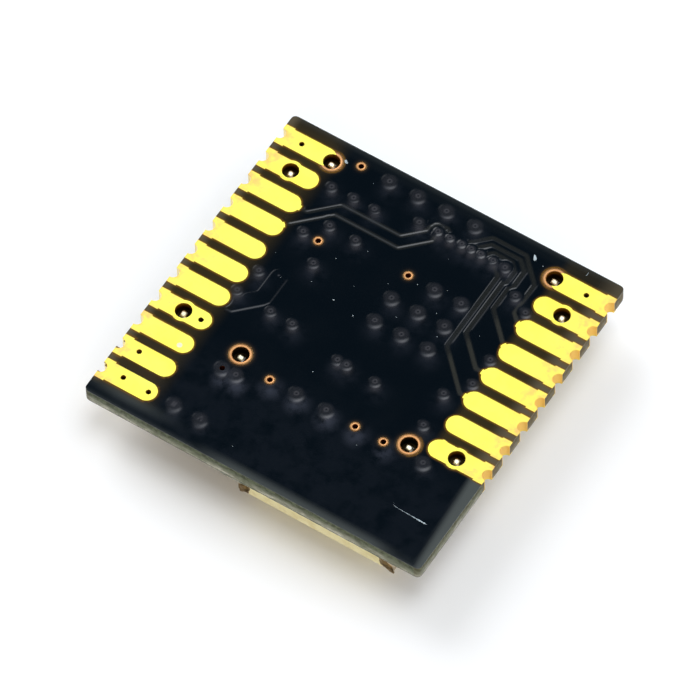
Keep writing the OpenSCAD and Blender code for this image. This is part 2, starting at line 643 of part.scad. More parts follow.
module contact_left(i) {
    vias = [for (v = LAND_VIAS_LEFT[i]) [-edge_x + v[0], left_y(i) + v[1]]];
    plugged = i == PLUG_ROW ? concat(vias, [plug_xy]) : vias;
    contact(-edge_x, left_y(i), -1, land_len_left, plugged, left_contact_legs(i), collar_of(i),
        LEFT_ROUTES[i], track_width(i, true), end_ring(i, true), neck_path(i, true));
}

module contact_right(i) {
    vias = [for (v = LAND_VIAS_RIGHT[i]) [edge_x - v[0], right_y(i) + v[1]]];
    contact(edge_x, right_y(i), 1, land_len_right, vias, right_contact_legs(i), collar_of(i),
        RIGHT_ROUTES[i], track_width(i, false), end_ring(i, false), neck_path(i, false));
}

// Half-thickness of the sheet, and the can's lid between its folds
half_t = can_t / 2;
lid_x0 = wall_left - half_t + fold_r;
lid_x1 = wall_right + half_t - fold_r;
lid_y0 = wall_front - half_t + fold_r;
lid_y1 = wall_far + half_t - fold_r;

// One wall with its fold, drawn along +X from 0 to len, standing on the outside of y = 0
module can_wall(len) {
    rotate([90, 0, 90]) linear_extrude(len) {
        intersection() {
            difference() {
                circle(fold_r);
                circle(fold_r - can_t);
            }
            translate([-slack, -slack]) square([slack, slack]);
        }
        translate([-fold_r, 0]) square([can_t, can_h - fold_r]);
    }
}

module can_leg(p, turn) translate([p[0], p[1], can_h - can_t]) rotate(turn)
    translate([-half_t, -leg_w / 2, 0]) cube([can_t, leg_w, leg_end_z - can_h + can_t]);

module shield_can() color("#c9ccd0") {
    translate([lid_x0, lid_y0, 0]) cube([lid_x1 - lid_x0, lid_y1 - lid_y0, can_t]);
    lid_w = lid_x1 - lid_x0 - 2 * can_slit;
    lid_d = lid_y1 - lid_y0 - 2 * can_slit;
    translate([lid_x0 + can_slit, lid_y0, fold_r]) can_wall(lid_w);
    translate([lid_x1 - can_slit, lid_y1, fold_r]) rotate(180) can_wall(lid_w);
    translate([lid_x1, lid_y0 + can_slit, fold_r]) rotate(90) can_wall(lid_d);
    translate([lid_x0, lid_y1 - can_slit, fold_r]) rotate(-90) can_wall(lid_d);
    for (p = side_leg_places) can_leg(p, 0);
    for (p = row_leg_places) can_leg(p, 90);
}

// Solder round the legs, in the lower part of their holes
module leg_solder() color("#b9bbb8") {
    for (p = side_leg_places) leg_fillet(p, 0);
    for (p = row_leg_places) leg_fillet(p, 90);
}
module leg_fillet(p, turn) translate([p[0], p[1], front_z]) difference() {
    cylinder(r = leg_hole_r, h = leg_solder_h);
    rotate(turn) translate([-half_t, -leg_w / 2, -slack]) cube([can_t, leg_w, 2 * slack]);
}

module antenna_body() color("#e1d7a5")
    translate([antenna_x0 + antenna_cap, antenna_y0, seat_z - antenna_t])
        cube([antenna_l - 2 * antenna_cap, antenna_w, antenna_t]);
module antenna_cap(x) color("#8a7458") translate([x, antenna_y0, seat_z - antenna_t])
    cube([antenna_cap, antenna_w, antenna_t]);
module antenna_cap_left() { antenna_cap(antenna_x0); }
module antenna_cap_right() { antenna_cap(antenna_x0 + antenna_l - antenna_cap); }

module component_lands() color("#e8c64a") pad_blocks(part_pads, seat_z, land_t);

// Radio chip: a moulded body with its contacts flush in its underside
module radio_chip() color("#202124") difference() {
    translate([chip_xy[0] - chip_w / 2, chip_xy[1] - chip_w / 2, seat_z - chip_t])
        cube([chip_w, chip_w, chip_t]);
    chip_contact_blocks(slack);
}
module chip_contact_blocks(past = 0) {
    pad_blocks(chip_lead_list, seat_z - chip_lead_t, chip_lead_t + past);
    pad_blocks([[chip_xy[0], chip_xy[1], chip_pad_w, chip_pad_w]], seat_z - chip_lead_t,
        chip_lead_t + past);
}
module radio_chip_contacts() color("#c9ccd0") chip_contact_blocks();

module crystal_base() color("#4a4640")
    slab(seat_z - crystal_h + crystal_lid_t, crystal_h - crystal_lid_t)
        pad_outline([[crystal_xy[0], crystal_xy[1], crystal_l, crystal_w]]);
module crystal_lid() color("#d0cbb8") slab(seat_z - crystal_h, crystal_lid_t)
    pad_outline([[crystal_xy[0], crystal_xy[1], crystal_l, crystal_w]], -crystal_rim);

module memory_chip() color("#202124") difference() {
    slab(seat_z - memory_h, memory_h) pad_outline([[memory_xy[0], memory_xy[1], memory_l, memory_w]]);
    pad_blocks(memory_pads, seat_z - memory_lead_t, memory_lead_t + slack);
}
module memory_chip_contacts() color("#c9ccd0")
    pad_blocks(memory_pads, seat_z - memory_lead_t, memory_lead_t);

// The regulator stands on bent leads
module regulator() color("#202124") slab(seat_z - regulator_h, regulator_h - regulator_lift)
    pad_outline([[regulator_xy[0], regulator_xy[1], regulator_l, regulator_w]]);
module regulator_leads() color("#c9ccd0") for (i = [0:len(regulator_pads) - 1]) {
    p = regulator_pads[i];
    out = REGULATOR_LEADS[i][1];
    pad_blocks([p], seat_z - lead_t, lead_t);
    pad_blocks([[p[0], p[1] - out * (regulator_reach - lead_t) / 2, regulator_lead_w, lead_t]],
        seat_z - regulator_h / 2, regulator_h / 2);
}

module radio_filter() color("#2d3a44") difference() {
    slab(seat_z - filter_h, filter_h) pad_outline([[filter_xy[0], filter_xy[1], filter_l, filter_w]]);
    pad_blocks(filter_pads, seat_z - filter_lead_t, filter_lead_t + slack);
}
module radio_filter_contacts() color("#c9ccd0")
    pad_blocks(filter_pads, seat_z - filter_lead_t, filter_lead_t);

// Bodies and end caps of the small chip components
module chip_part_bodies(places, h) for (p = places) translate([p[0], p[1], seat_z - h]) rotate(p[2])
    translate([-chip_part_l / 2 + chip_part_cap, -chip_part_w / 2, 0])
        cube([chip_part_l - 2 * chip_part_cap, chip_part_w, h]);
module chip_part_caps(places, h) for (p = places, k = [0, 1])
    translate([p[0], p[1], seat_z - h]) rotate(p[2])
        translate([-chip_part_l / 2 + k * (chip_part_l - chip_part_cap), -chip_part_w / 2, 0])
            cube([chip_part_cap, chip_part_w, h]);

module capacitors() color("#b08d62") chip_part_bodies(CAPACITORS, chip_part_w);
module capacitor_caps() color("#c9ccd0") chip_part_caps(CAPACITORS, chip_part_w);
module resistors() color("#202124") chip_part_bodies(RESISTORS, resistor_h);
module resistor_caps() color("#c9ccd0") chip_part_caps(RESISTORS, resistor_h);
module inductors() color("#5c6f7a") chip_part_bodies(INDUCTORS, chip_part_w);
module inductor_caps() color("#c9ccd0") chip_part_caps(INDUCTORS, chip_part_w);

laminate();
back_mask();
front_mask();
tented_vias();
open_vias();
via_plug();
leg_sleeve_left();
leg_sleeve_right();
leg_solder();
shield_can();
antenna_body();
antenna_cap_left();
antenna_cap_right();
component_lands();
radio_chip();
radio_chip_contacts();
crystal_base();
crystal_lid();
memory_chip();
memory_chip_contacts();
regulator();
regulator_leads();
radio_filter();
radio_filter_contacts();
capacitors();
capacitor_caps();
resistors();
resistor_caps();
inductors();
inductor_caps();
for (i = [0:LEFT_COUNT - 1]) contact_left(i);
for (i = [0:RIGHT_COUNT - 1]) contact_right(i);
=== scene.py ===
"""Looks of a small radio module that lies on its shield can with the soldered side up.

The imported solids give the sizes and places. New pieces are surfaces worked out as whole arrays,
and every finish is a procedural material on Object coordinates.
"""

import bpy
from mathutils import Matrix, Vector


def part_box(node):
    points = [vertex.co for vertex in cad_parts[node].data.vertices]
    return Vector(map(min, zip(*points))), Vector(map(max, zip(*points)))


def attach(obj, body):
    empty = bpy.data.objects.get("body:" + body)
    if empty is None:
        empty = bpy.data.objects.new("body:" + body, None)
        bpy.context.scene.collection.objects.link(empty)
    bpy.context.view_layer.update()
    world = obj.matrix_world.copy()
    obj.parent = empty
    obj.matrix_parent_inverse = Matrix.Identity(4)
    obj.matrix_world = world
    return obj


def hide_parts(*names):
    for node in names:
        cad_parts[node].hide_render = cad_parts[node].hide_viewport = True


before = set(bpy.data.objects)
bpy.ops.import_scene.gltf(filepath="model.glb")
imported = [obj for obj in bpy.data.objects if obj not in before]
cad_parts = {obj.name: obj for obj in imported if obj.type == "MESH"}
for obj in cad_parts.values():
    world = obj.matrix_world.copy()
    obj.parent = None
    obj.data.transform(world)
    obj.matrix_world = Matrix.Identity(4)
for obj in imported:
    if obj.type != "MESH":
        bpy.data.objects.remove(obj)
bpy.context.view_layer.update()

import logging
import math
from dataclasses import asdict, dataclass, field
from enum import Enum
from typing import ClassVar

import bpy
import numpy as np
from mathutils import Quaternion, Vector

log = logging.getLogger("radio_module")

MM = 0.001
BODY = "root"
SEED = 11
WELD = 1e-4 * MM  # Corner points of a solid that lie this close are one.
SIDE_LEG_X = 5.65 * MM  # Legs further out than this come up through the lands.

Colour = tuple[float, float, float, float]
Direction = tuple[float, float, float]
Span = tuple[float, float]
Wave = tuple[float, float, float]
Given = float | Colour | Direction | bpy.types.NodeSocket


def srgb(red: float, green: float, blue: float) -> Colour:
    """Turns a colour of 0 to 255 as seen in a picture into linear light.

    Args:
        red: Red part, 0 to 255.
        green: Green part, 0 to 255.
        blue: Blue part, 0 to 255.

    Returns:
        Linear red, green and blue, and full alpha.
    """
    parts = np.array([red, green, blue]) / 255.0
    linear = np.where(parts <= 0.04045, parts / 12.92, ((parts + 0.055) / 1.055) ** 2.4)
    return (float(linear[0]), float(linear[1]), float(linear[2]), 1.0)


# Arrays and meshes


def smooth_step(values: np.ndarray, low: float, high: float) -> np.ndarray:
    """Rises from 0 at low to 1 at high along the cubic 3t^2 - 2t^3; low may lie above high.

    Args:
        values: Any array.
        low: Value where the result is 0.
        high: Value where the result is 1.

    Returns:
        An array of the same shape, 0 to 1.
    """
    t = np.clip((values - low) / (high - low), 0.0, 1.0)
    return t * t * (3.0 - 2.0 * t)


def waves(places: np.ndarray, parts: tuple[Wave, ...]) -> np.ndarray:
    """Adds sine waves to 1, as a factor that makes a border uneven.

    Args:
        places: Angles, or lengths along the border.
        parts: Height, rate and phase of each wave.

    Returns:
        The factor at each place.
    """
    return 1 + sum(height * np.sin(rate * places + phase) for height, rate, phase in parts)


def round_angles(count: int) -> np.ndarray:
    """Angles of points evenly spaced round a full turn."""
    return np.linspace(0, 2 * math.pi, count, endpoint=False)


def surface(x: np.ndarray, y: np.ndarray, z: np.ndarray) -> np.ndarray:
    """Joins three arrays, spread out to one shape, into places."""
    return np.stack(np.broadcast_arrays(x, y, z), -1)


def grid_quads(rows: int, columns: int, close_rows: bool = False) -> np.ndarray:
    """Faces of a grid of points that is stored row by row.

    Args:
        rows: Number of rows.
        columns: Number of points in a row.
        close_rows: True where each row is a ring, so its last point meets its first.

    Returns:
        Four point numbers for each face.
    """
    across = columns if close_rows else columns - 1
    row, column = np.meshgrid(np.arange(rows - 1), np.arange(across), indexing="ij")
    nearby = (column + 1) % columns
    first = row * columns
    return np.stack([first + column, first + nearby, first + columns + nearby,
                     first + columns + column], -1).reshape(-1, 4)


def ring_quads(rows: int, around: int, copies: int = 1) -> np.ndarray:
    """Faces of some copies of a grid of rings, whose points are stored one copy after the other.

    Args:
        rows: Number of rings in a copy.
        around: Number of points in a ring.
        copies: Number of copies.

    Returns:
        Four point numbers for each face.
    """
    first = rows * around * np.arange(copies)[:, None, None]
    return (grid_quads(rows, around, close_rows=True) + first).reshape(-1, 4)


def outline_edges(quads: np.ndarray) -> np.ndarray:
    """Edges that only one face uses, each in the direction in which that face goes round it.

    Args:
        quads: Four point numbers for each face.

    Returns:
        Two point numbers for each edge.
    """
    edges = np.stack([quads, np.roll(quads, -1, axis=1)], -1).reshape(-1, 2)
    keys = np.sort(edges, axis=1)
    span = int(quads.max()) + 1
    _, index, counts = np.unique(keys[:, 0] * span + keys[:, 1], return_index=True, return_counts=True)
    return edges[index[counts == 1]]


def add_piece(name: str, points: np.ndarray, quads: np.ndarray, material: bpy.types.Material) -> bpy.types.Object:
    """Makes a smooth mesh object of the part, and lets it ride on the part's one body.

    Args:
        name: Name of the piece.
        points: Places in metres, in an array of any shape.
        quads: Four point numbers for each face.
        material: Its finish.

    Returns:
        The new object.
    """
    mesh = bpy.data.meshes.new(name)
    mesh.from_pydata(points.reshape(-1, 3).tolist(), [], quads.tolist())
    mesh.polygons.foreach_set("use_smooth", np.ones(len(quads), bool))
    mesh.materials.append(material)
    mesh.update()
    piece = bpy.data.objects.new(name, mesh)
    bpy.context.scene.collection.objects.link(piece)
    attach(piece, BODY)
    log.info("%s: %d faces", name, len(quads))
    return piece


def set_attribute(piece: bpy.types.Object, name: str, values: np.ndarray) -> None:
    """Stores one number for each point of a piece, which its material reads by name."""
    layer = piece.data.attributes.new(name, "FLOAT", "POINT")
    layer.data.foreach_set("value", values.astype(np.float32).ravel())


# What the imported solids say


def node_points(node: str) -> np.ndarray:
    """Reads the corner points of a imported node.

    Args:
        node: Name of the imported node.

    Returns:
        Places in metres, one row for each point.
    """
    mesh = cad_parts[node].data
    flat = np.zeros(len(mesh.vertices) * 3, np.float32)
    mesh.vertices.foreach_get("co", flat)
    return flat.reshape(-1, 3).astype(float)


def mesh_edges(mesh: bpy.types.Mesh) -> np.ndarray:
    """Reads the edges of a mesh.

    Args:
        mesh: The mesh.

    Returns:
        Two point numbers for each edge.
    """
    ends = np.zeros(len(mesh.edges) * 2, np.int32)
    mesh.edges.foreach_get("vertices", ends)
    return ends.reshape(-1, 2)


def island_boxes(node: str) -> list[tuple[np.ndarray, np.ndarray]]:
    """Boxes of the separate solids of one node.

    Points at the same place are one, and a number that starts as the point's own spreads along the
    edges until every solid has a single number.

    Args:
        node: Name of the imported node.

    Returns:
        Lowest and highest corner of each solid, in metres.
    """
    points = node_points(node)
    _, weld = np.unique(np.round(points / WELD), axis=0, return_inverse=True)
    pairs = weld.ravel()[mesh_edges(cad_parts[node].data)]
    number = np.arange(weld.max() + 1)
    spread = np.zeros_like(number)
    while not np.array_equal(spread, number):
        spread = number.copy()
        np.minimum.at(number, pairs, spread[pairs].min(1, keepdims=True))
        number = number[number]
    owner = number[weld.ravel()]
    return [(points[owner == i].min(0), points[owner == i].max(0)) for i in np.unique(owner)]


def film_level() -> float:
    """Level of the flat film, which is also the upper face of the bare vias' rings, in metres."""
    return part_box("open_vias")[1].z


def via_rings() -> np.ndarray:
    """X, Y and ring radius of the bare vias, in metres, one row for each."""
    return np.array([(*((low + high) / 2)[:2], (high[0] - low[0]) / 2)
                     for low, high in island_boxes("open_vias")])


def leg_places() -> np.ndarray:
    """X and Y of the can's legs, in metres, one row for each."""
    return np.array([((low + high) / 2)[:2] for low, high in island_boxes("leg_solder")])


def leg_ring() -> float:
    """Outer radius of the copper ring round a leg's hole, in metres."""
    low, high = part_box("leg_sleeve_left")
    return (high.x - low.x) / 2


def dress(material: bpy.types.Material, nodes: list[str]) -> None:
    """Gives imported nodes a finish.

    Args:
        material: The finish.
        nodes: Names of the nodes.
    """
    for node in nodes:
        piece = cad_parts[node]
        if not piece.material_slots:
            piece.data.materials.append(material)
        for place in piece.material_slots:
            place.material = material
    log.info("%s on %s", material.name, ", ".join(nodes))


# Node graphs


class Graph:
    """A node tree that grows one node at a time."""

    def __init__(self, tree: bpy.types.NodeTree) -> None:
        """Starts from an empty tree."""
        self.tree = tree
        self.tree.nodes.clear()

    def add(self, kind: str, sockets: dict[str | int, Given] | None = None,
            **settings: object) -> bpy.types.Node:
        """Adds a node.

        Args:
            kind: Blender's type name of the node.
            sockets: Value or output to link for inputs, by name or number.
            settings: Properties of the node itself.

        Returns:
            The new node.
        """
        node = self.tree.nodes.new(kind)
        for key, value in settings.items():
            setattr(node, key, value)
        self.fill(node, sockets or {})
        return node

    def fill(self, node: bpy.types.Node, sockets: dict[str | int, Given]) -> None:
        """Sets inputs of a node, or links outputs to them.

        Args:
            node: The node.
            sockets: Value or output to link for inputs, by name or number.
        """
        for key, value in sockets.items():
            if isinstance(value, bpy.types.NodeSocket):
                self.tree.links.new(value, node.inputs[key])
            else:
                node.inputs[key].default_value = value

    def mix(self, share: Given, first: Given, second: Given) -> bpy.types.NodeSocket:
        """Blends two colours, which are a Mix node's inputs 6 and 7; share 1 gives the second."""
        return self.add("ShaderNodeMix", {0: share, 6: first, 7: second}, data_type="RGBA").outputs[2]

    def spread(self, value: Given, low: Given, high: Given, to_low: float = 0.0,
               to_high: float = 1.0) -> bpy.types.NodeSocket:
        """Maps a range of values smoothly onto another."""
        return self.add("ShaderNodeMapRange", {"Value": value, "From Min": low, "From Max": high,
                                               "To Min": to_low, "To Max": to_high},
                        interpolation_type="SMOOTHSTEP").outputs["Result"]

    def math(self, operation: str, first: Given, second: Given = 0.0) -> bpy.types.NodeSocket:
        """Joins two values by an operation such as LESS_THAN, or changes one by ABSOLUTE."""
        return self.add("ShaderNodeMath", {0: first, 1: second}, operation=operation).outputs[0]

    def times(self, first: Given, second: Given) -> bpy.types.NodeSocket:
        """Multiplies two values."""
        return self.math("MULTIPLY", first, second)


class Effect(Enum):
    """The shared effects, each a node group that is built once."""

    PATCHES = "patches"
    STREAKS = "streaks"
    GRAIN = "grain"


@dataclass
class EffectShelf:
    """Builds the shared node groups and hands them out."""

    made: dict[Effect, bpy.types.NodeTree] = field(default_factory=dict)

    def take(self, effect: Effect) -> bpy.types.NodeTree:
        """Gives the group of an effect, and builds it the first time.

        Args:
            effect: The effect.

        Returns:
            Its node group.
        """
        if effect not in self.made:
            self.made[effect] = {Effect.PATCHES: self.patches, Effect.STREAKS: self.streaks,
                                 Effect.GRAIN: self.grain}[effect]()
        return self.made[effect]

    @staticmethod
    def start(effect: Effect, numbers: tuple[str, ...], result: str,
              kind: str) -> tuple[Graph, bpy.types.Node]:
        """Starts a group with a vector input, number inputs and one output.

        Args:
            effect: The effect, whose value is the group's name.
            numbers: Names of its number inputs.
            result: Name of its output.
            kind: Socket type of its output.

        Returns:
            The group's graph and its input node.
        """
        tree = bpy.data.node_groups.new(effect.value, "ShaderNodeTree")
        tree.interface.new_socket("Vector", in_out="INPUT", socket_type="NodeSocketVector")
        for number in numbers:
            tree.interface.new_socket(number, in_out="INPUT", socket_type="NodeSocketFloat")
        tree.interface.new_socket(result, in_out="OUTPUT", socket_type=kind)
        graph = Graph(tree)
        return graph, graph.add("NodeGroupInput")

    @staticmethod
    def add_mask(graph: Graph, given: bpy.types.Node, noise: bpy.types.Node) -> bpy.types.NodeTree:
        """Ends a group with noise that is cut off smoothly between Low and High.

        Args:
            graph: The group's graph.
            given: Its input node.
            noise: The noise.

        Returns:
            The group.
        """
        mask = graph.spread(noise.outputs["Fac"], given.outputs["Low"], given.outputs["High"])
        graph.add("NodeGroupOutput", {"Mask": mask})
        return graph.tree

    def patches(self) -> bpy.types.NodeTree:
        """Cloudy patches: noise at a scale, cut off smoothly between Low and High.

        Returns:
            The group.
        """
        graph, given = self.start(Effect.PATCHES, ("Scale", "Low", "High"), "Mask", "NodeSocketFloat")
        noise = graph.add("ShaderNodeTexNoise", {"Vector": given.outputs["Vector"],
                                                 "Scale": given.outputs["Scale"],
                                                 "Detail": 5.0, "Roughness": 0.6})
        return self.add_mask(graph, given, noise)

    def streaks(self) -> bpy.types.NodeTree:
        """Fibres that lie level: noise that is drawn out along X and Y by Stretch.

        Returns:
            The group.
        """
        graph, given = self.start(Effect.STREAKS, ("Scale", "Stretch", "Low", "High"), "Mask",
                                  "NodeSocketFloat")
        squeeze = graph.add("ShaderNodeCombineXYZ", {0: 1.0, 1: 1.0, 2: given.outputs["Stretch"]})
        drawn = graph.add("ShaderNodeVectorMath", {0: given.outputs["Vector"], 1: squeeze.outputs[0]},
                          operation="MULTIPLY")
        noise = graph.add("ShaderNodeTexNoise", {"Vector": drawn.outputs[0],
                                                 "Scale": given.outputs["Scale"],
                                                 "Detail": 4.0, "Roughness": 0.65})
        return self.add_mask(graph, given, noise)

    def grain(self) -> bpy.types.NodeTree:
        """A fine uneven surface: noise as height, Depth metres from low to high.

        Returns:
            The group.
        """
        graph, given = self.start(Effect.GRAIN, ("Scale", "Depth"), "Normal", "NodeSocketVector")
        noise = graph.add("ShaderNodeTexNoise", {"Vector": given.outputs["Vector"],
                                                 "Scale": given.outputs["Scale"],
                                                 "Detail": 3.0, "Roughness": 0.55})
        bump = graph.add("ShaderNodeBump", {"Strength": 1.0, "Distance": given.outputs["Depth"],
                                            "Height": noise.outputs["Fac"]})
        graph.add("NodeGroupOutput", {"Normal": bump.outputs["Normal"]})
        return graph.tree


SHELF = EffectShelf()


@dataclass(frozen=True)
class Patches:
    """Cloudy patches: the noise's scale, and its values where a patch starts and where it is full."""

    effect: ClassVar[Effect] = Effect.PATCHES
    scale: float
    low: float
    high: float


@dataclass(frozen=True)
class Streaks(Patches):
    """Patches that are drawn out level by a stretch."""

    effect: ClassVar[Effect] = Effect.STREAKS
    stretch: float


@dataclass(frozen=True)
class Grain:
    """A fine uneven surface: the noise's scale, and its depth in metres."""

    effect: ClassVar[Effect] = Effect.GRAIN
    scale: float
    depth: float


class Coat(Graph):
    """A material's graph, with the place on the object and the shader."""

    def __init__(self, tree: bpy.types.NodeTree) -> None:
        """Starts with the Object coordinates and a shader, which goes to the output.

        Args:
            tree: The material's node tree.
        """
        super().__init__(tree)
        self.where = self.add("ShaderNodeTexCoord").outputs["Object"]
        self.shader = self.add("ShaderNodeBsdfPrincipled")
        self.add("ShaderNodeOutputMaterial", {"Surface": self.shader.outputs["BSDF"]})

    def effect(self, look: Patches | Streaks | Grain) -> bpy.types.NodeSocket:
        """Places a shared effect with its own values.

        Args:
            look: The effect's values, which are the group's sockets.

        Returns:
            The effect's mask or normal.
        """
        values = {key.title(): value for key, value in asdict(look).items()}
        group = self.add("ShaderNodeGroup", {"Vector": self.where} | values,
                         node_tree=SHELF.take(look.effect))
        return group.outputs[0]

    def attribute(self, name: str) -> bpy.types.NodeSocket:
        """Reads a number that the mesh keeps for each point."""
        return self.add("ShaderNodeAttribute", attribute_name=name).outputs["Fac"]

    def axes(self) -> tuple[bpy.types.NodeSocket, ...]:
        """Splits the place on the object into X, Y and Z."""
        return tuple(self.add("ShaderNodeSeparateXYZ", {0: self.where}).outputs)

    def finish(self, tone: Given, mask: Given, gloss: Span, grain: Grain, **fixed: float) -> None:
        """Sets and links the shader's sockets.

        Args:
            tone: Its colour.
            mask: Patches by which its roughness changes.
            gloss: Roughness where the mask is 0 and where it is 1.
            grain: Its fine unevenness.
            fixed: Further sockets by name, each the same all over.
        """
        self.fill(self.shader, {"Base Color": tone, "Roughness": self.spread(mask, 0.0, 1.0, *gloss),
                                "Normal": self.effect(grain), **fixed})


# Finishes


@dataclass(frozen=True)
class Finish:
    """A surface finish. A finish of its own kind adds to the graph in paint()."""

    name: str
    slot: str

    def make(self) -> bpy.types.Material:
        """Builds the material.

        Returns:
            A new material.
        """
        material = bpy.data.materials.new(self.name)
        material.use_nodes = True
        self.paint(Coat(material.node_tree))
        return material

    def paint(self, coat: Coat) -> None:
        """Sets and links the shader's sockets."""
        raise NotImplementedError


@dataclass(frozen=True)
class GlossFilm(Finish):
    """Black mask film: blue-black over copper, with other tones where its attributes say so; some of these are
    painted sheen, glow and shade.
    """

    layers: ClassVar[tuple[str, ...]] = ("bare", "thin", "worn", "track", "haze_and_sheen", "lee_glow", "dome_sheen", "ring",
                                         "land_glow")
    covered: Colour = srgb(4, 10, 16)
    bare: Colour = srgb(50, 42, 24)
    thin: Colour = srgb(82, 87, 85)
    worn: Colour = srgb(92, 83, 66)
    # Lighter film over the tracks; where they slant, part of it is a painted highlight
    track: Colour = srgb(56, 56, 50)
    # Painted sheen to the camera's side of vias, in wisps, and a faint haze over the front part
    haze_and_sheen: Colour = srgb(52, 56, 66)
    # Painted glow beside vias, to the camera's side
    lee_glow: Colour = srgb(88, 86, 90)
    # Painted grey sheen on the film's domes over vias, with painted shade in their dimples
    dome_sheen: Colour = srgb(66, 66, 70)
    # Painted brown glow round the open vias and the legs' rings
    ring: Colour = srgb(96, 76, 52)
    # Painted brown glow on the film beside the side lands
    land_glow: Colour = srgb(120, 84, 24)
    wisps: Patches = Patches(1500.0, 0.3, 0.62)
    cloud: Patches = Patches(600.0, 0.3, 0.75)
    gloss: Span = (0.09, 0.11)
    peel: Grain = Grain(5200.0, 0.0003 * MM)
    ior: float = 1.55

    def paint(self, coat: Coat) -> None:
        """Blends the tones by the film's own attributes and adds a faint orange peel.

        Args:
            coat: The material's graph.
        """
        tone = self.covered
        for layer in self.layers:
            share = coat.attribute(layer)
            if layer == "haze_and_sheen":
                share = coat.times(share, coat.effect(self.wisps))
            tone = coat.mix(share, tone, getattr(self, layer))
        coat.finish(tone, coat.effect(self.cloud), self.gloss, self.peel, IOR=self.ior)


@dataclass(frozen=True)
class SoftGold(Finish):
    """Soft gold plating: stained near the board's edges, orange in the notches, with painted light and shade on
    the walls of the holes and a painted highlight in the left-hand notches.
    """

    plate: Colour = srgb(252, 246, 104)
    warm: Colour = srgb(252, 234, 94)
    outer: Colour = srgb(252, 217, 104)
    stain: Colour = srgb(236, 188, 112)
    copper: Colour = srgb(196, 142, 88)
    notch: Colour = srgb(252, 208, 110)
    # Painted highlight: notches on the left-hand side drawn lighter
    pale_notch: Colour = srgb(255, 236, 176)
    # Walls of the holes: painted light near the top and painted shade deep down
    wall: Colour = srgb(206, 142, 40)
    deep: Colour = srgb(84, 50, 14)
    edge_x: Span = (5.9 * MM, 7.6 * MM)
    edge_share: float = 0.75
    ring_z: float = 2.2655 * MM
    ring_reach: float = 5.8 * MM
    notch_x: float = 7.2 * MM
    face_z: float = 1.66 * MM
    levels: tuple[float, float, float] = (1.95 * MM, 2.2 * MM, 2.25 * MM)
    cloud: Patches = Patches(700.0, 0.35, 0.7)
    spots: Patches = Patches(1900.0, 0.46, 0.72)
    gloss: Span = (0.46, 0.56)
    grain: Grain = Grain(9000.0, 0.002 * MM)

    def paint(self, coat: Coat) -> None:
        """Tones by place: lands, copper rings below ring_z, notch walls, lighter on the left as a painted
        highlight, and walls of the holes, darker towards the bottom as painted shade.

        Args:
            coat: The material's graph.
        """
        x, _, height = coat.axes()
        out = coat.math("ABSOLUTE", x)
        cloud = coat.effect(self.cloud)
        tone = coat.mix(cloud, self.plate, self.warm)
        edge = coat.spread(out, *self.edge_x)
        tone = coat.mix(coat.times(edge, self.edge_share), tone, self.outer)
        tone = coat.mix(coat.times(edge, coat.effect(self.spots)), tone, self.stain)
        low = coat.math("LESS_THAN", height, self.ring_z)
        inner = coat.math("LESS_THAN", out, self.ring_reach)
        tone = coat.mix(coat.times(low, inner), tone, self.copper)
        bottom, middle, top = self.levels
        # Painted shade: the holes' walls darken towards the bottom
        walls = coat.mix(coat.spread(height, bottom, middle), self.deep, self.wall)
        left = coat.math("LESS_THAN", x, 0.0)
        # Painted highlight on the left-hand notches
        notch = coat.mix(left, self.notch, self.pale_notch)
        beside = coat.math("GREATER_THAN", out, self.notch_x)
        sunk = coat.times(coat.spread(height, top, middle), coat.math("GREATER_THAN", height, self.face_z))
        tone = coat.mix(sunk, tone, coat.mix(beside, walls, notch))
        coat.finish(tone, cloud, self.gloss, self.grain, Metallic=1.0)


@dataclass(frozen=True)
class DrilledCopper(Finish):
    """Copper rings round bare vias and leg holes, with walls in the holes that darken with depth as painted
    shade.
    """

    tone: Colour = srgb(204, 148, 92)
    dull: Colour = srgb(168, 112, 68)
    # Walls of the holes: painted shade, darker towards the bottom
    wall: Colour = srgb(150, 66, 28)
    deep: Colour = srgb(130, 44, 16)
    levels: tuple[float, float, float] = (2.0 * MM, 2.2 * MM, 2.25 * MM)
    cloud: Patches = Patches(3000.0, 0.35, 0.7)
    gloss: Span = (0.42, 0.55)
    grain: Grain = Grain(6000.0, 0.002 * MM)

    def paint(self, coat: Coat) -> None:
        """Dull patches on the rings; below them the walls darken with depth, as painted shade.

        Args:
            coat: The material's graph.
        """
        height = coat.axes()[2]
        cloud = coat.effect(self.cloud)
        tone = coat.mix(cloud, self.tone, self.dull)
        bottom, middle, top = self.levels
        walls = coat.mix(coat.spread(height, bottom, middle), self.deep, self.wall)
        tone = coat.mix(coat.spread(height, top, middle), tone, walls)
        coat.finish(tone, cloud, self.gloss, self.grain, Metallic=1.0)


@dataclass(frozen=True)
class RimCopper(Finish):
    """Bare copper of a ring: painted shade at its inner border by the hole, brown at its outer border, and a
    painted highlight between them.
    """

    # Painted shade at the hole's lip, painted highlight across the ring's middle, and the brown outer border
    inner: Colour = srgb(112, 64, 32)
    bright: Colour = srgb(216, 160, 106)
    outer: Colour = srgb(92, 66, 36)
    inner_band: Span = (0.0, 0.22)
    outer_band: Span = (0.3, 0.95)
    cloud: Patches = Patches(2500.0, 0.3, 0.75)
    gloss: Span = (0.42, 0.55)
    grain: Grain = Grain(6000.0, 0.002 * MM)

    def paint(self, coat: Coat) -> None:
        """Shades by the ring's own attribute, 0 at the inner border and 1 at the outer one.

        Args:
            coat: The material's graph.
        """
        out = coat.attribute("out")
        tone = coat.mix(coat.spread(out, *self.inner_band), self.inner, self.bright)
        tone = coat.mix(coat.spread(out, *self.outer_band), tone, self.outer)
        coat.finish(tone, coat.effect(self.cloud), self.gloss, self.grain, Metallic=1.0)


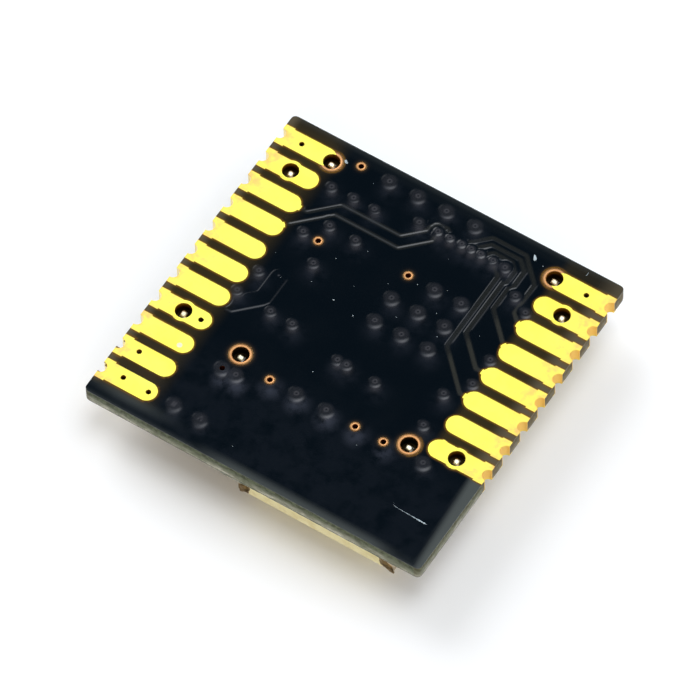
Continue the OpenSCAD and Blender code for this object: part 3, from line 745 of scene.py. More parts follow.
@dataclass(frozen=True)
class CutLaminate(Finish):
    """Cut edge of glass laminate: dark green resin above, pale fibres below, brown between contacts."""

    resin: Colour = srgb(54, 62, 42)
    fibre: Colour = srgb(204, 205, 194)
    middle: Colour = srgb(128, 133, 118)
    green: Colour = srgb(84, 96, 66)
    # Darker brown mixed onto both side faces, more beside the contacts
    stain: Colour = srgb(94, 73, 34)
    resin_z: Span = (1.66 * MM, 2.1 * MM)
    side_x: float = 7.35 * MM
    stain_y: Span = (-3.1 * MM, -2.8 * MM)
    stain_share: Span = (0.25, 0.7)
    area_share: float = 0.55
    fleck_share: float = 0.5
    streaks: Streaks = Streaks(2200.0, 0.36, 0.66, 2.6)
    flecks: Patches = Patches(6500.0, 0.38, 0.64)
    areas: Patches = Patches(900.0, 0.4, 0.66)
    gloss: Span = (0.8, 0.6)
    grain: Grain = Grain(8000.0, 0.01 * MM)

    def paint(self, coat: Coat) -> None:
        """More resin towards the top face, broken up by streaks and flecks; darker brown on both side faces.

        Args:
            coat: The material's graph.
        """
        x, y, height = coat.axes()
        flecks = coat.effect(self.flecks)
        pale = coat.mix(coat.effect(self.streaks), self.middle, self.fibre)
        pale = coat.mix(coat.times(coat.effect(self.areas), self.area_share), pale, self.green)
        pale = coat.mix(coat.times(flecks, self.fleck_share), pale, self.middle)
        dark = coat.mix(flecks, self.resin, self.green)
        tone = coat.mix(coat.spread(height, *self.resin_z), pale, dark)
        side = coat.math("GREATER_THAN", coat.math("ABSOLUTE", x), self.side_x)
        share = coat.spread(y, *self.stain_y, *self.stain_share)
        tone = coat.mix(coat.times(side, share), tone, self.stain)
        coat.finish(tone, flecks, self.gloss, self.grain)


@dataclass(frozen=True)
class Mottled(Finish):
    """Ceramic, resin or dust: two near tones in cloudy patches."""

    tone: Colour
    other: Colour
    gloss: Span = (0.4, 0.6)
    patch: float = 1800.0
    patch_range: Span = (0.35, 0.7)
    grain: Grain = Grain(7000.0, 0.003 * MM)
    metallic: float = 0.0

    def paint(self, coat: Coat) -> None:
        """Blends two tones by cloudy patches.

        Args:
            coat: The material's graph.
        """
        cloud = coat.effect(Patches(self.patch, *self.patch_range))
        tone = coat.mix(cloud, self.tone, self.other)
        coat.finish(tone, cloud, self.gloss, self.grain, Metallic=self.metallic)


@dataclass(frozen=True)
class PlainMetal(Mottled):
    """Bare metal with dull patches and a fine grain."""

    patch: float = 1500.0
    grain: Grain = Grain(6000.0, 0.002 * MM)
    metallic: float = 1.0


# The black film over the soldered side


@dataclass(frozen=True)
class Opening:
    """A round opening in the film, in metres, and the share of painted brown glow at its border."""

    x: float
    y: float
    radius: float
    glow: float


class ViaSize(Enum):
    """Radius and height of the film's dome over a via, and reach of the via's copper, in mm."""

    BROAD = (0.345, 0.018, 0.3)
    SMALL = (0.255, 0.0145, 0.3)
    TRACK_END = (0.19, 0.016, 0.21)


@dataclass(frozen=True)
class CoveredVia:
    """A via under the film: its middle in metres, its size, and whether the film beside it gets the stronger
    painted sheen.
    """

    x: float
    y: float
    size: ViaSize
    hazy: bool = False


@dataclass(frozen=True)
class Zone:
    """A stretch of the film, in mm, with a tone of its own.

    A span says where the zone starts and where it is full along an axis. A lean moves the X span
    with Y, and less is a zone whose share is taken away.
    """

    share: float = 1.0
    x: Span | None = None
    y: Span | None = None
    lean: float = 0.0
    less: "Zone | None" = None

    def cover(self, x: np.ndarray, y: np.ndarray) -> np.ndarray:
        """Works out the zone's share as a product of smooth steps across its borders.

        Args:
            x: X places in metres.
            y: Y places in metres.

        Returns:
            The share at each place.
        """
        share = np.full_like(x, self.share)
        for places, span in ((x + self.lean * y, self.x), (y, self.y)):
            if span:
                share = share * smooth_step(places / MM, *span)
        return share * (1 - self.less.cover(x, y)) if self.less else share


@dataclass(frozen=True)
class LeeSpot:
    """A soft spot of painted light beside a via, in mm: how far it lies to the lee side, towards the camera, and
    its width.
    """

    shift: float
    width: float
    way: Span = (0.556, -0.831)

    def cover(self, dx: np.ndarray, dy: np.ndarray) -> np.ndarray:
        """A bell curve round the spot's middle, from offsets in mm from the via's middle."""
        off = np.hypot(dx - self.way[0] * self.shift, dy - self.way[1] * self.shift)
        return np.exp(-0.5 * (off / self.width) ** 2)


@dataclass(frozen=True)
class ViaLook:
    """Shape of the film over a via, and its painted sheen, glow and shade on and beside it, lengths in mm and the
    rest in shares.
    """

    dome_power: int = 5
    disc_reach: float = 0.85
    disc_power: int = 8
    # Painted sheen on the dome's disc and on the lip round its dimple, and painted shade in the dimple
    disc_tone: float = 0.26
    lip: Span = (0.075, 0.03)
    lip_tone: float = 0.64
    dimple: float = 0.042
    dimple_depth: float = 0.16
    dimple_tone: float = 0.15
    # Painted glow and sheen to the camera's side of covered vias, and painted sheen beside small open vias in
    # front
    lee_glow: LeeSpot = LeeSpot(0.27, 0.13)
    haze_and_sheen: LeeSpot = LeeSpot(0.48, 0.3)
    clear_shares: Span = (0.3, 0.25)
    hazy_shares: Span = (0.4, 0.9)
    open_haze: LeeSpot = LeeSpot(0.42, 0.3)
    open_share: float = 0.85
    # Fall of the painted brown glow round a round opening, in mm
    glow_fall: float = 0.04

    def over(self, via: CoveredVia, dx: np.ndarray, dy: np.ndarray) -> dict[str, np.ndarray]:
        """Height of the film over a covered via, and its painted sheen, glow and shade.

        The dome is h = exp(-(r/a)^5) less a small bell for its dimple. A painted grey sheen is a flat
        disc on the dome with a lip round the dimple, painted shade darkens the dimple, and two bells to
        the camera's side add a painted glow and a painted sheen.

        Args:
            via: The via.
            dx: X offsets from its middle, in mm.
            dy: Y offsets from its middle, in mm.

        Returns:
            Height of the dome in metres, and shares of the painted sheen, glow and shade by name.
        """
        radius, rise, _ = via.size.value
        far = np.hypot(dx, dy)
        edge = np.exp(-(far / radius) ** self.dome_power)
        disc = np.exp(-(far / (self.disc_reach * radius)) ** self.disc_power)
        dimple = np.exp(-(far / self.dimple) ** 2)
        lip = np.exp(-((far - self.lip[0]) / self.lip[1]) ** 2)
        near, wide = self.hazy_shares if via.hazy else self.clear_shares
        return {"dome": rise * MM * (edge - self.dimple_depth * dimple),
                "dome_sheen": disc * (self.disc_tone + self.lip_tone * lip) - self.dimple_tone * dimple,
                "lee_glow": near * (1 - disc) * self.lee_glow.cover(dx, dy),
                "haze_and_sheen": wide * (1 - disc) * self.haze_and_sheen.cover(dx, dy)}


@dataclass
class MaskFilm:
    """The film over the soldered side: a height field over the board's outline.

    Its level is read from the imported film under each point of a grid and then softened, so that it
    swells over tracks and covered vias as a coat of lacquer does. It is made in two pieces that meet
    on the flattest row near the middle.
    """

    # Between the lands; along the right, front and far edges; at the ends of the gaps between lands.
    zones: ClassVar[dict[str, tuple[Zone, ...]]] = {
        "bare": (Zone(x=(-4.6, -5.7), y=(-7.0, -6.7), less=Zone(0.3, y=(6.9, 7.3))),
                 Zone(x=(4.9, 5.35), y=(-2.95, -2.5), less=Zone(0.5, y=(6.75, 6.95)))),
        "thin": (Zone(0.85, x=(6.716, 7.056), y=(-2.75, -3.1), lean=0.066),
                 Zone(0.68, x=(-3.1, -0.6), y=(-7.0, -7.45), less=Zone(0.85, x=(5.2, 6.8))),
                 Zone(0.19, y=(6.8, 7.1), less=Zone(16 / 19, y=(7.45, 7.15))),
                 Zone(0.28, y=(-7.28, -7.45))),
        "worn": (Zone(0.9, x=(-7.1, -7.55), y=(-7.0, -6.6)),
                 Zone(0.95, x=(6.5, 7.3), y=(-3.1, -2.8),
                      less=Zone(0.6, y=(6.75, 7.0), less=Zone(0.4, x=(7.1, 7.5)))))}
    # Where right-hand tracks run at a slant, and the front part with a faint haze.
    slanted: ClassVar[Zone] = Zone(x=(2.89, 3.29), lean=-0.3)
    front_haze: ClassVar[Zone] = Zone(0.09, y=(-2.0, -5.0))

    finish: GlossFilm
    via_look: ViaLook = ViaLook()
    # Grid, which is finer where the film has relief
    fine: float = 0.033 * MM
    coarse: float = 0.11 * MM
    fine_x: float = 6.95 * MM
    front_zone: float = -4.4 * MM
    corner: float = 0.2 * MM
    inset: float = 1e-5 * MM
    drop: float = 0.1 * MM
    gap: float = 0.02 * MM
    # Areas of the supply track and of the vias' kinds
    supply_x: float = -2.5 * MM
    supply_y: float = 2.5 * MM
    front_vias: float = -2.5 * MM
    far_vias: float = 6.6 * MM
    chip_x: Span = (0.0, 3.0 * MM)
    chip_y: Span = (0.9 * MM, 3.6 * MM)
    # Covered vias in this front area get the stronger painted sheen beside them
    hazy_x: float = 3.5 * MM
    hazy_y: Span = (-4.3 * MM, -2.5 * MM)
    track_end_x: float = 4.6 * MM
    barrel_depth: float = 0.02 * MM
    via_clearing: float = 1.1
    pierced_r: float = 0.11 * MM
    small_hole: float = 0.3 * MM
    # Shares of painted brown glow round open vias and round the legs' rings
    via_glow: float = 0.3
    leg_glow: float = 0.5
    # Smear in the left front corner
    smear_share: float = 0.42
    smear_middle: Span = (-5.9 * MM, -6.9 * MM)
    smear_size: Span = (1.5 * MM, 0.24 * MM)
    # Swell over tracks, which sinks at their ends and where they slant
    track_rise: float = 0.0105 * MM
    swell_shift: float = 0.095 * MM
    swell_to: float = 0.4 * MM
    edge_blur: float = 0.02 * MM
    broad_blur: float = 0.034 * MM
    trail_rows: int = 8
    end_blur: float = 0.11 * MM
    end_range: Span = (0.01, 0.22)
    slanted_loss: float = 0.7
    # Lighter film over the tracks, with a painted highlight where they slant, and painted brown glow beside the
    # lands
    tone_blur: float = 0.05 * MM
    tone_range: Span = (0.4, 0.97)
    tone_share: float = 0.32
    slanted_tone: float = 0.4
    rim_blur: float = 0.05 * MM
    rim_range: Span = (0.02, 0.5)
    rim_share: float = 0.85
    rim_x: float = 4.5 * MM
    rim_y: float = 7.0 * MM
    # Grid steps that reach in under the lands, and collars of round openings
    under_lands: int = 2
    collar_w: float = 0.1 * MM
    collar_lift: float = 0.001 * MM
    collar_rows: int = 7
    collar_points: int = 64

    def __post_init__(self) -> None:
        """Takes the levels, the outline and the places of the vias and legs from the frame."""
        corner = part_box("laminate")[1]
        self.half = np.array([corner.x, corner.y])
        self.floor_z = corner.z
        self.base_z = film_level()
        self.top_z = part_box("back_mask")[1].z
        self.covered = self.covered_vias()
        self.holes = self.openings()

    @staticmethod
    def axis(stops: list[float], steps: list[float]) -> np.ndarray:
        """Points along one axis, evenly spaced from stop to stop.

        Args:
            stops: Ends of the stretches.
            steps: Wanted spacing on each stretch.

        Returns:
            The points in order.
        """
        stretches = [np.linspace(a, b, max(2, round((b - a) / step) + 1))[:-1]
                     for a, b, step in zip(stops, stops[1:], steps)]
        return np.concatenate(stretches + [np.array(stops[-1:])])

    def read_level(self, x: np.ndarray, y: np.ndarray) -> tuple[np.ndarray, np.ndarray]:
        """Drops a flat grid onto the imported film.

        Args:
            x: Grid of X places.
            y: Grid of Y places.

        Returns:
            True where the film stands up, and True where it is open.
        """
        limit_x, limit_y = self.half - self.inset
        points = surface(np.clip(x, -limit_x, limit_x), np.clip(y, -limit_y, limit_y),
                         self.top_z + self.drop).reshape(-1, 3)
        probe_mesh = bpy.data.meshes.new("probe")
        probe_mesh.from_pydata(points.tolist(), [], [])
        probe = bpy.data.objects.new("probe", probe_mesh)
        bpy.context.scene.collection.objects.link(probe)
        wrap = probe.modifiers.new("drop", "SHRINKWRAP")
        wrap.wrap_method = "PROJECT"
        wrap.use_project_z = True
        wrap.use_negative_direction = True
        wrap.use_positive_direction = False
        wrap.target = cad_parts["back_mask"]
        dropped = probe.evaluated_get(bpy.context.evaluated_depsgraph_get()).to_mesh()
        flat = np.zeros(len(points) * 3, np.float32)
        dropped.vertices.foreach_get("co", flat)
        level = flat.reshape(-1, 3)[:, 2].reshape(x.shape)
        bpy.data.objects.remove(probe)
        bpy.data.meshes.remove(probe_mesh)
        is_open = level > self.top_z + self.drop / 2
        raised = (level > (self.base_z + self.top_z) / 2) & ~is_open
        return raised, is_open

    @staticmethod
    def soften(values: np.ndarray, xs: np.ndarray, ys: np.ndarray, blur: float) -> np.ndarray:
        """Weighs each value with its neighbours by a bell curve of width blur, along X and then Y.

        Args:
            values: One value for each grid point.
            xs: The grid's X places.
            ys: The grid's Y places.
            blur: Width of the bell curve, in metres.

        Returns:
            The softened values.
        """
        def weights(places: np.ndarray) -> np.ndarray:
            """Share of every place in each softened one."""
            bell = np.exp(-0.5 * ((places[:, None] - places) / blur) ** 2) * np.gradient(places)
            return bell / bell.sum(1, keepdims=True)

        return weights(ys) @ values @ weights(xs).T

    def covered_vias(self) -> list[CoveredVia]:
        """Finds the vias under the film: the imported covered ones, and the barrels at tracks' ends.

        Returns:
            The vias.
        """
        found = []
        for low, high in island_boxes("tented_vias"):
            x, y = ((low + high) / 2)[:2]
            hazy = self.hazy_y[0] < y < self.hazy_y[1] and x < self.hazy_x
            found.append(CoveredVia(x, y, self.via_size(x, y), hazy))
        for node in sorted(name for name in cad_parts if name.startswith("contact_")):
            points = node_points(node)
            barrel = points[(points[:, 2] < self.floor_z - self.barrel_depth)
                            & (np.abs(points[:, 0]) < self.track_end_x)]
            if len(barrel):
                x, y = ((barrel.min(0) + barrel.max(0)) / 2)[:2]
                if not self.on_supply(x, y):
                    found.append(CoveredVia(x, y, ViaSize.TRACK_END))
        return found

    def via_size(self, x: float, y: float) -> ViaSize:
        """Broad in the front third, in the far row and in the field under the chip, else small.

        Args:
            x: X of the via.
            y: Y of the via.

        Returns:
            The via's size.
        """
        under_chip = self.chip_x[0] < x < self.chip_x[1] and self.chip_y[0] < y < self.chip_y[1]
        broad = y < self.front_vias or y > self.far_vias or under_chip
        return ViaSize.BROAD if broad else ViaSize.SMALL

    def on_supply(self, x: np.ndarray, y: np.ndarray) -> np.ndarray:
        """True in the area of the wide supply track."""
        return (x < self.supply_x) & (y < self.supply_y)

    def openings(self) -> list[Opening]:
        """Round openings of the film: at the bare vias and round every leg's ring."""
        return ([Opening(x, y, radius + self.gap, self.via_glow) for x, y, radius in via_rings()]
                + [Opening(x, y, leg_ring() + self.gap, self.leg_glow) for x, y in leg_places()])

    def round_corners(self, x: np.ndarray, y: np.ndarray) -> tuple[np.ndarray, np.ndarray]:
        """Pulls the grid's square corners in to quarter circles.

        In a corner's square, a point keeps its direction from the arc's middle, and its distance
        becomes the larger of its two offsets.

        Args:
            x: Grid of X places.
            y: Grid of Y places.

        Returns:
            The new X and Y places.
        """
        u = np.clip(np.abs(x) - self.half[0] + self.corner, 0.0, None)
        v = np.clip(np.abs(y) - self.half[1] + self.corner, 0.0, None)
        in_corner = (u > 0) & (v > 0)
        scale = np.where(in_corner, np.maximum(u, v) / np.where(in_corner, np.hypot(u, v), 1.0), 1.0)
        return x - np.sign(x) * u * (1 - scale), y - np.sign(y) * v * (1 - scale)

    def tones(self, x: np.ndarray, y: np.ndarray) -> dict[str, np.ndarray]:
        """Works out where the film is paler, because no copper lies under it.

        The largest share of a tone's zones counts. A smear is a bell that is longer along X.

        Args:
            x: Grid of X places.
            y: Grid of Y places.

        Returns:
            Shares of the brown tone between the lands, of the grey along the board's edges and of the
            worn brown at the ends of the gaps between lands.
        """
        shares = {name: np.max([zone.cover(x, y) for zone in zones], axis=0)
                  for name, zones in self.zones.items()}
        (middle_x, middle_y), (long, wide) = self.smear_middle, self.smear_size
        smear = self.smear_share * np.exp(-((x - middle_x) / long) ** 2 - ((y - middle_y) / wide) ** 2)
        shares["thin"] = np.maximum(shares["thin"], smear)
        return shares

    def rings(self, x: np.ndarray, y: np.ndarray) -> dict[str, np.ndarray]:
        """Works out heights, and painted sheen, glow and shade, round the vias and legs.

        The largest height and share of all vias counts. A round opening has an exponential fall of
        painted brown glow from its border.

        Args:
            x: Grid of X places.
            y: Grid of Y places.

        Returns:
            Height of the domes in metres, and shares of the painted sheen, glow and shade by name.
        """
        look = self.via_look
        layers = {name: np.zeros_like(x) for name in ("dome", "dome_sheen", "lee_glow", "ring")}
        layers["haze_and_sheen"] = self.front_haze.cover(x, y)
        for via in self.covered:
            for name, values in look.over(via, (x - via.x) / MM, (y - via.y) / MM).items():
                layers[name] = np.maximum(layers[name], values)
        for hole in self.holes:
            dx, dy = (x - hole.x) / MM, (y - hole.y) / MM
            past = np.clip(np.hypot(dx, dy) - hole.radius / MM, 0, None)
            layers["ring"] = np.maximum(layers["ring"], hole.glow * np.exp(-past / look.glow_fall))
            if hole.radius < self.small_hole and hole.y < 0:
                layers["haze_and_sheen"] = np.maximum(layers["haze_and_sheen"], look.open_share * look.open_haze.cover(dx, dy))
        return layers

    def read_relief(self, x: np.ndarray, y: np.ndarray) -> tuple[np.ndarray, np.ndarray, np.ndarray]:
        """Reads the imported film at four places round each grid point.

        The swell over a left-hand track lies swell_shift aside, so that its lit flank is over the track.

        Args:
            x: Grid of X places.
            y: Grid of Y places.

        Returns:
            Shares of the places where the film swells, where a track lies under it, and where it is
            open.
        """
        raised, track, is_open = (np.zeros_like(x) for _ in range(3))
        aside = np.where(self.on_supply(x, y) | (x > self.swell_to), 0.0, self.swell_shift)
        step = self.fine / 4
        for across, along in ((-step, -step), (-step, step), (step, -step), (step, step)):
            lifted, bare = self.read_level(x + across, y + along)
            swollen, _ = self.read_level(x + across + aside, y + along - aside)
            track += lifted / 4
            is_open += bare / 4
            raised += swollen / 4
        for via in self.covered:
            reach = self.via_clearing * via.size.value[2] * MM
            raised[np.hypot(x + aside - via.x, y - aside - via.y) < reach] = 0.0
            track[np.hypot(x - via.x, y - via.y) < reach] = 0.0
        track[self.on_supply(x, y)] = 0.0
        return raised, track, is_open

    def trail(self, swell: np.ndarray) -> np.ndarray:
        """Lets the far flank of a swell run out in a straight slope over trail_rows rows of the grid.

        Args:
            swell: Height as a share, with a row for each place along Y.

        Returns:
            The height with gentle far flanks.
        """
        eased = swell.copy()
        for row in range(1, self.trail_rows + 1):
            share = 1 - row / (self.trail_rows + 1)
            eased[row:] = np.maximum(eased[row:], share * swell[:-row])
        return eased

    def build(self) -> list[bpy.types.Object]:
        """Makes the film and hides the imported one.

        Height over the base is the larger of the softened tracks and the domes on covered vias. The
        grid ends in steps at a round opening, and a smooth collar covers them.

        Returns:
            The film's two halves and its collars.
        """
        hx, hy = self.half
        xs = self.axis([-hx, -self.fine_x, self.fine_x, hx], [self.coarse, self.fine, self.coarse])
        ys = self.axis([-hy, self.front_zone, hy], [self.coarse, self.fine])
        x, y = np.meshgrid(xs, ys)
        raised, track, share_open = self.read_relief(x, y)
        is_open = share_open > 0.5
        self.add_pierced(xs, ys, is_open)
        layers = self.rings(x, y)
        slanted = self.slanted.cover(x, y)
        ends = smooth_step(self.soften(share_open, xs, ys, self.end_blur), *self.end_range)
        swell = np.where(self.on_supply(x, y), self.soften(raised, xs, ys, self.broad_blur),
                         self.trail(self.soften(raised, xs, ys, self.edge_blur)))
        swell = swell * (1 - ends) * (1 - self.slanted_loss * slanted)
        relief = np.maximum(self.track_rise * swell, layers.pop("dome"))
        layers |= self.tones(x, y)
        # Lighter film over the tracks; the share where they slant is a painted highlight, as their swell is cut
        # back there
        lanes = smooth_step(self.soften(track, xs, ys, self.tone_blur), *self.tone_range)
        layers["track"] = (self.tone_share + self.slanted_tone * slanted) * lanes
        # Painted brown glow on the film beside the side lands
        beside = smooth_step(self.soften(share_open, xs, ys, self.rim_blur), *self.rim_range)
        layers["land_glow"] = self.rim_share * beside * (np.abs(x) > self.rim_x) * (np.abs(y) < self.rim_y)
        deep = self.shrink(is_open, self.under_lands)
        for hole in self.holes:
            deep |= np.hypot(x - hole.x, y - hole.y) < hole.radius + self.collar_w / 2
        points = surface(*self.round_corners(x, y), np.minimum(self.base_z + relief, self.top_z))
        third = len(ys) // 3
        seam = third + int(np.argmin(relief.sum(1)[third:2 * third]))
        return [self.make_half("solder_mask_film_front", points, deep, layers, 0, seam),
                self.make_half("solder_mask_film_far", points, deep, layers, seam, len(ys) - 1),
                self.make_collars(xs, ys, layers["land_glow"])]

    def make_collars(self, xs: np.ndarray, ys: np.ndarray, land_glow: np.ndarray) -> bpy.types.Object:
        """Makes the film's round borders: flat rings, each with a band down to the laminate.

        Args:
            xs: The grid's X places.
            ys: The grid's Y places.
            land_glow: Share of the painted brown glow beside the lands at each grid point, read at the nearest
                one.

        Returns:
            All collars as one piece.
        """
        rows, around = self.collar_rows + 1, self.collar_points
        t = np.concatenate([[0.0], np.linspace(0.0, 1.0, self.collar_rows)])[:, None]
        angle = round_angles(around)
        places = np.array([[hole.x, hole.y, hole.radius] for hole in self.holes])[:, :, None, None]
        radius = places[:, 2] + self.collar_w * t
        x, y = places[:, 0] + radius * np.cos(angle), places[:, 1] + radius * np.sin(angle)
        layers = self.rings(x, y)
        z = np.minimum(self.base_z + self.collar_lift + layers.pop("dome"), self.top_z)
        z[:, 0] = self.floor_z
        layers |= self.tones(x, y)
        layers["land_glow"] = land_glow[np.abs(y[..., None] - ys).argmin(-1), np.abs(x[..., None] - xs).argmin(-1)]
        collars = add_piece("solder_mask_collars", surface(x, y, z),
                            ring_quads(rows, around, len(places))[:, ::-1],
                            self.finish.make())
        for key, values in layers.items():
            set_attribute(collars, key, values)
        turn = np.arange(around)
        ring = around + np.stack([turn, (turn + 1) % around], -1)
        first = rows * around * np.arange(len(places))[:, None, None]
        self.sharpen(collars.data, (ring + first).reshape(-1, 2))
        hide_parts("back_mask")
        return collars

    def add_pierced(self, xs: np.ndarray, ys: np.ndarray, is_open: np.ndarray) -> None:
        """Adds an opening for each covered via whose film is pierced.

        Args:
            xs: The grid's X places.
            ys: The grid's Y places.
            is_open: True at grid points where the film is open.
        """
        for via in self.covered:
            if is_open[np.abs(ys - via.y).argmin(), np.abs(xs - via.x).argmin()]:
                self.holes.append(Opening(via.x, via.y, self.pierced_r, 0.0))

    def make_half(self, name: str, points: np.ndarray, deep: np.ndarray, layers: dict[str, np.ndarray],
                  first: int, last: int) -> bpy.types.Object:
        """Makes one piece of the film from some rows of the grid.

        Args:
            name: Name of the piece.
            points: All grid points.
            deep: True at points that lie well inside an opening.
            layers: Attributes, one value for each grid point.
            first: First row.
            last: Last row.

        Returns:
            The piece.
        """
        rows = slice(first, last + 1)
        quads = grid_quads(last + 1 - first, points.shape[1])
        quads = quads[~deep[rows].ravel()[quads].all(1)]
        border = outline_edges(quads)
        row = border // points.shape[1]
        at_seam = np.isin(row + first, [r for r in (first, last) if 0 < r < len(points) - 1]).all(1)
        kept = {key: values[rows] for key, values in layers.items()}
        return self.finish_mesh(name, points[rows].reshape(-1, 3), quads, border[~at_seam], kept)

    @staticmethod
    def shrink(mask: np.ndarray, steps: int) -> np.ndarray:
        """Takes a border off the True areas of a mask.

        Args:
            mask: True or False for each grid point.
            steps: Width of the border, in grid steps.

        Returns:
            The mask with smaller True areas.
        """
        padded = np.pad(mask, steps, mode="edge")
        width = 2 * steps + 1
        windows = np.lib.stride_tricks.sliding_window_view(padded, (width, width))
        return windows.all((-2, -1))

    def finish_mesh(self, name: str, points: np.ndarray, quads: np.ndarray, border: np.ndarray,
                    layers: dict[str, np.ndarray]) -> bpy.types.Object:
        """Adds the film's cut edge, drops unused points and makes the piece.

        The edge is a band from each border edge down to the laminate.

        Args:
            name: Name of the piece.
            points: Grid points.
            quads: Faces that are kept.
            border: Edges that get a band.
            layers: Attributes, one value for each grid point.

        Returns:
            The piece.
        """
        used, flat = np.unique(quads, return_inverse=True)
        quads = flat.reshape(quads.shape)
        border = np.searchsorted(used, border)
        rim_points, rim_flat = np.unique(border, return_inverse=True)
        low = len(used) + rim_flat.reshape(border.shape)
        top = points[used]
        foot = top[rim_points].copy()
        foot[:, 2] = self.floor_z
        band = np.stack([border[:, 1], border[:, 0], low[:, 0], low[:, 1]], -1)
        film = add_piece(name, np.concatenate([top, foot]), np.concatenate([quads, band]),
                         self.finish.make())
        for key, values in layers.items():
            kept = values.ravel()[used]
            set_attribute(film, key, np.concatenate([kept, kept[rim_points]]))
        self.sharpen(film.data, border)
        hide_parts("back_mask")
        return film

    @staticmethod
    def sharpen(mesh: bpy.types.Mesh, border: np.ndarray) -> None:
        """Keeps the film's upper border crisp under smooth shading.

        Args:
            mesh: Mesh of a piece of the film.
            border: Two point numbers for each edge of that border.
        """
        span = np.array([len(mesh.vertices), 1])
        keys = np.sort(mesh_edges(mesh).astype(np.int64), axis=1) @ span
        wanted = np.sort(border.astype(np.int64), axis=1) @ span
        layer = mesh.attributes.new("sharp_edge", "BOOLEAN", "EDGE")
        layer.data.foreach_set("value", np.isin(keys, wanted))


# Legs, antenna and marks


@dataclass
class LegTips:
    """Bright solder caps on the tips of the can's legs, seen down in their holes."""

    finish: PlainMetal
    long: float = 0.145 * MM
    short: float = 0.125 * MM
    rise: float = 0.05 * MM
    lift: float = 0.01 * MM
    skirt: float = 0.02 * MM
    lean: Span = (-0.195, 0.152)
    power: float = 3.2
    tip: float = 0.02
    rings: int = 9
    around: int = 28

    def build(self) -> bpy.types.Object:
        """Makes one cap for each leg, as one piece.

        A cap is a low dome: its outline is a rounded square |x/a|^p + |y/b|^p = 1 that grows from a
        small one, while its height falls with the fourth power of the growth. The dome leans by a
        slope along X and Y, and its outermost ring goes down to the leg as a skirt.

        Returns:
            The caps.
        """
        angle = round_angles(self.around)
        width = np.concatenate([[1.0], np.linspace(1.0, self.tip, self.rings - 1)])[:, None]
        corner = np.abs(np.cos(angle)) ** self.power + np.abs(np.sin(angle)) ** self.power
        reach = width * corner ** (-1 / self.power)
        legs = leg_places()[:, :, None, None]
        at_side = np.abs(legs[:, 0]) > SIDE_LEG_X
        out_x = np.where(at_side, self.short, self.long) * reach * np.cos(angle)
        out_y = np.where(at_side, self.long, self.short) * reach * np.sin(angle)
        leg_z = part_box("shield_can")[1].z
        height = (leg_z + self.lift + self.rise * (1 - width ** 4)
                  + self.lean[0] * out_x + self.lean[1] * out_y)
        height[:, 0] = leg_z - self.skirt
        return add_piece("leg_tip_caps", surface(legs[:, 0] + out_x, legs[:, 1] + out_y, height),
                         ring_quads(self.rings, self.around, len(legs)),
                         self.finish.make())


@dataclass
class CopperRings:
    """Bare copper rims round the open vias and the leg holes that lie off the lands."""

    finish: RimCopper
    rise: float = 0.007 * MM
    sink: float = 0.001 * MM
    leg_hole: float = 0.345 * MM
    via_hole: float = 0.11 * MM
    around: int = 64
    rings: int = 9

    def build(self) -> bpy.types.Object:
        """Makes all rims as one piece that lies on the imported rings.

        A rim is a low arch h = 1 - (2t - 1)^2 carried round, t from the inner to the outer radius; t
        is kept as the attribute the finish shades by.

        Returns:
            The rims.
        """
        angle = round_angles(self.around)
        t = np.linspace(0.0, 1.0, self.rings)[:, None]
        places = self.places()
        x, y, inner, outer = places.T[:, :, None, None]
        radius = inner + t * (outer - inner)
        height = film_level() - self.sink + self.rise * (1 - (2 * t - 1) ** 2)
        piece = add_piece("copper_rims",
                          surface(x + radius * np.cos(angle), y + radius * np.sin(angle), height),
                          ring_quads(self.rings, self.around, len(places))[:, ::-1],
                          self.finish.make())
        set_attribute(piece, "out", np.broadcast_to(t, (len(places), self.rings, self.around)))
        return piece

    def places(self) -> np.ndarray:
        """X, Y, inner and outer radius of each rim, in metres, one row for each."""
        vias = [(x, y, self.via_hole, outer) for x, y, outer in via_rings()]
        return np.array(vias + [(x, y, self.leg_hole, leg_ring()) for x, y in leg_places()
                                if abs(x) < SIDE_LEG_X])


@dataclass
class LandBurr:
    """A small burr of plating on the upper edge of the last right-hand land."""

    finish: SoftGold
    middle: Span = (5.385 * MM, -2.11 * MM)
    size: Span = (0.13 * MM, 0.062 * MM)
    ragged: tuple[Wave, ...] = ((0.1, 3, 0.6), (0.06, 5, 0.0))
    foot: float = 0.004 * MM
    below: float = 0.0005 * MM
    tip: float = 0.02
    rings: int = 7
    around: int = 32

    def build(self) -> bpy.types.Object:
        """Makes the burr: a ragged oval whose height falls with the fourth power of the way out.

        Returns:
            The burr.
        """
        angle = round_angles(self.around)
        way = np.linspace(1.0, self.tip, self.rings)[:, None]
        out = way * waves(angle, self.ragged)
        low = film_level() - self.foot
        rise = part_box("contact_right_08")[1].z - self.below - low
        points = surface(self.middle[0] + self.size[0] * out * np.cos(angle),
                         self.middle[1] + self.size[1] * out * np.sin(angle), low + rise * (1 - way ** 4))
        return add_piece("land_burr", points, ring_quads(self.rings, self.around),
                         self.finish.make())


@dataclass(frozen=True)
class Lump:
    """A lump of solder in mm: its name, middle, half sizes, and its slope along X."""

    name: str
    middle: tuple[float, float, float]
    half: tuple[float, float, float]
    lean: float


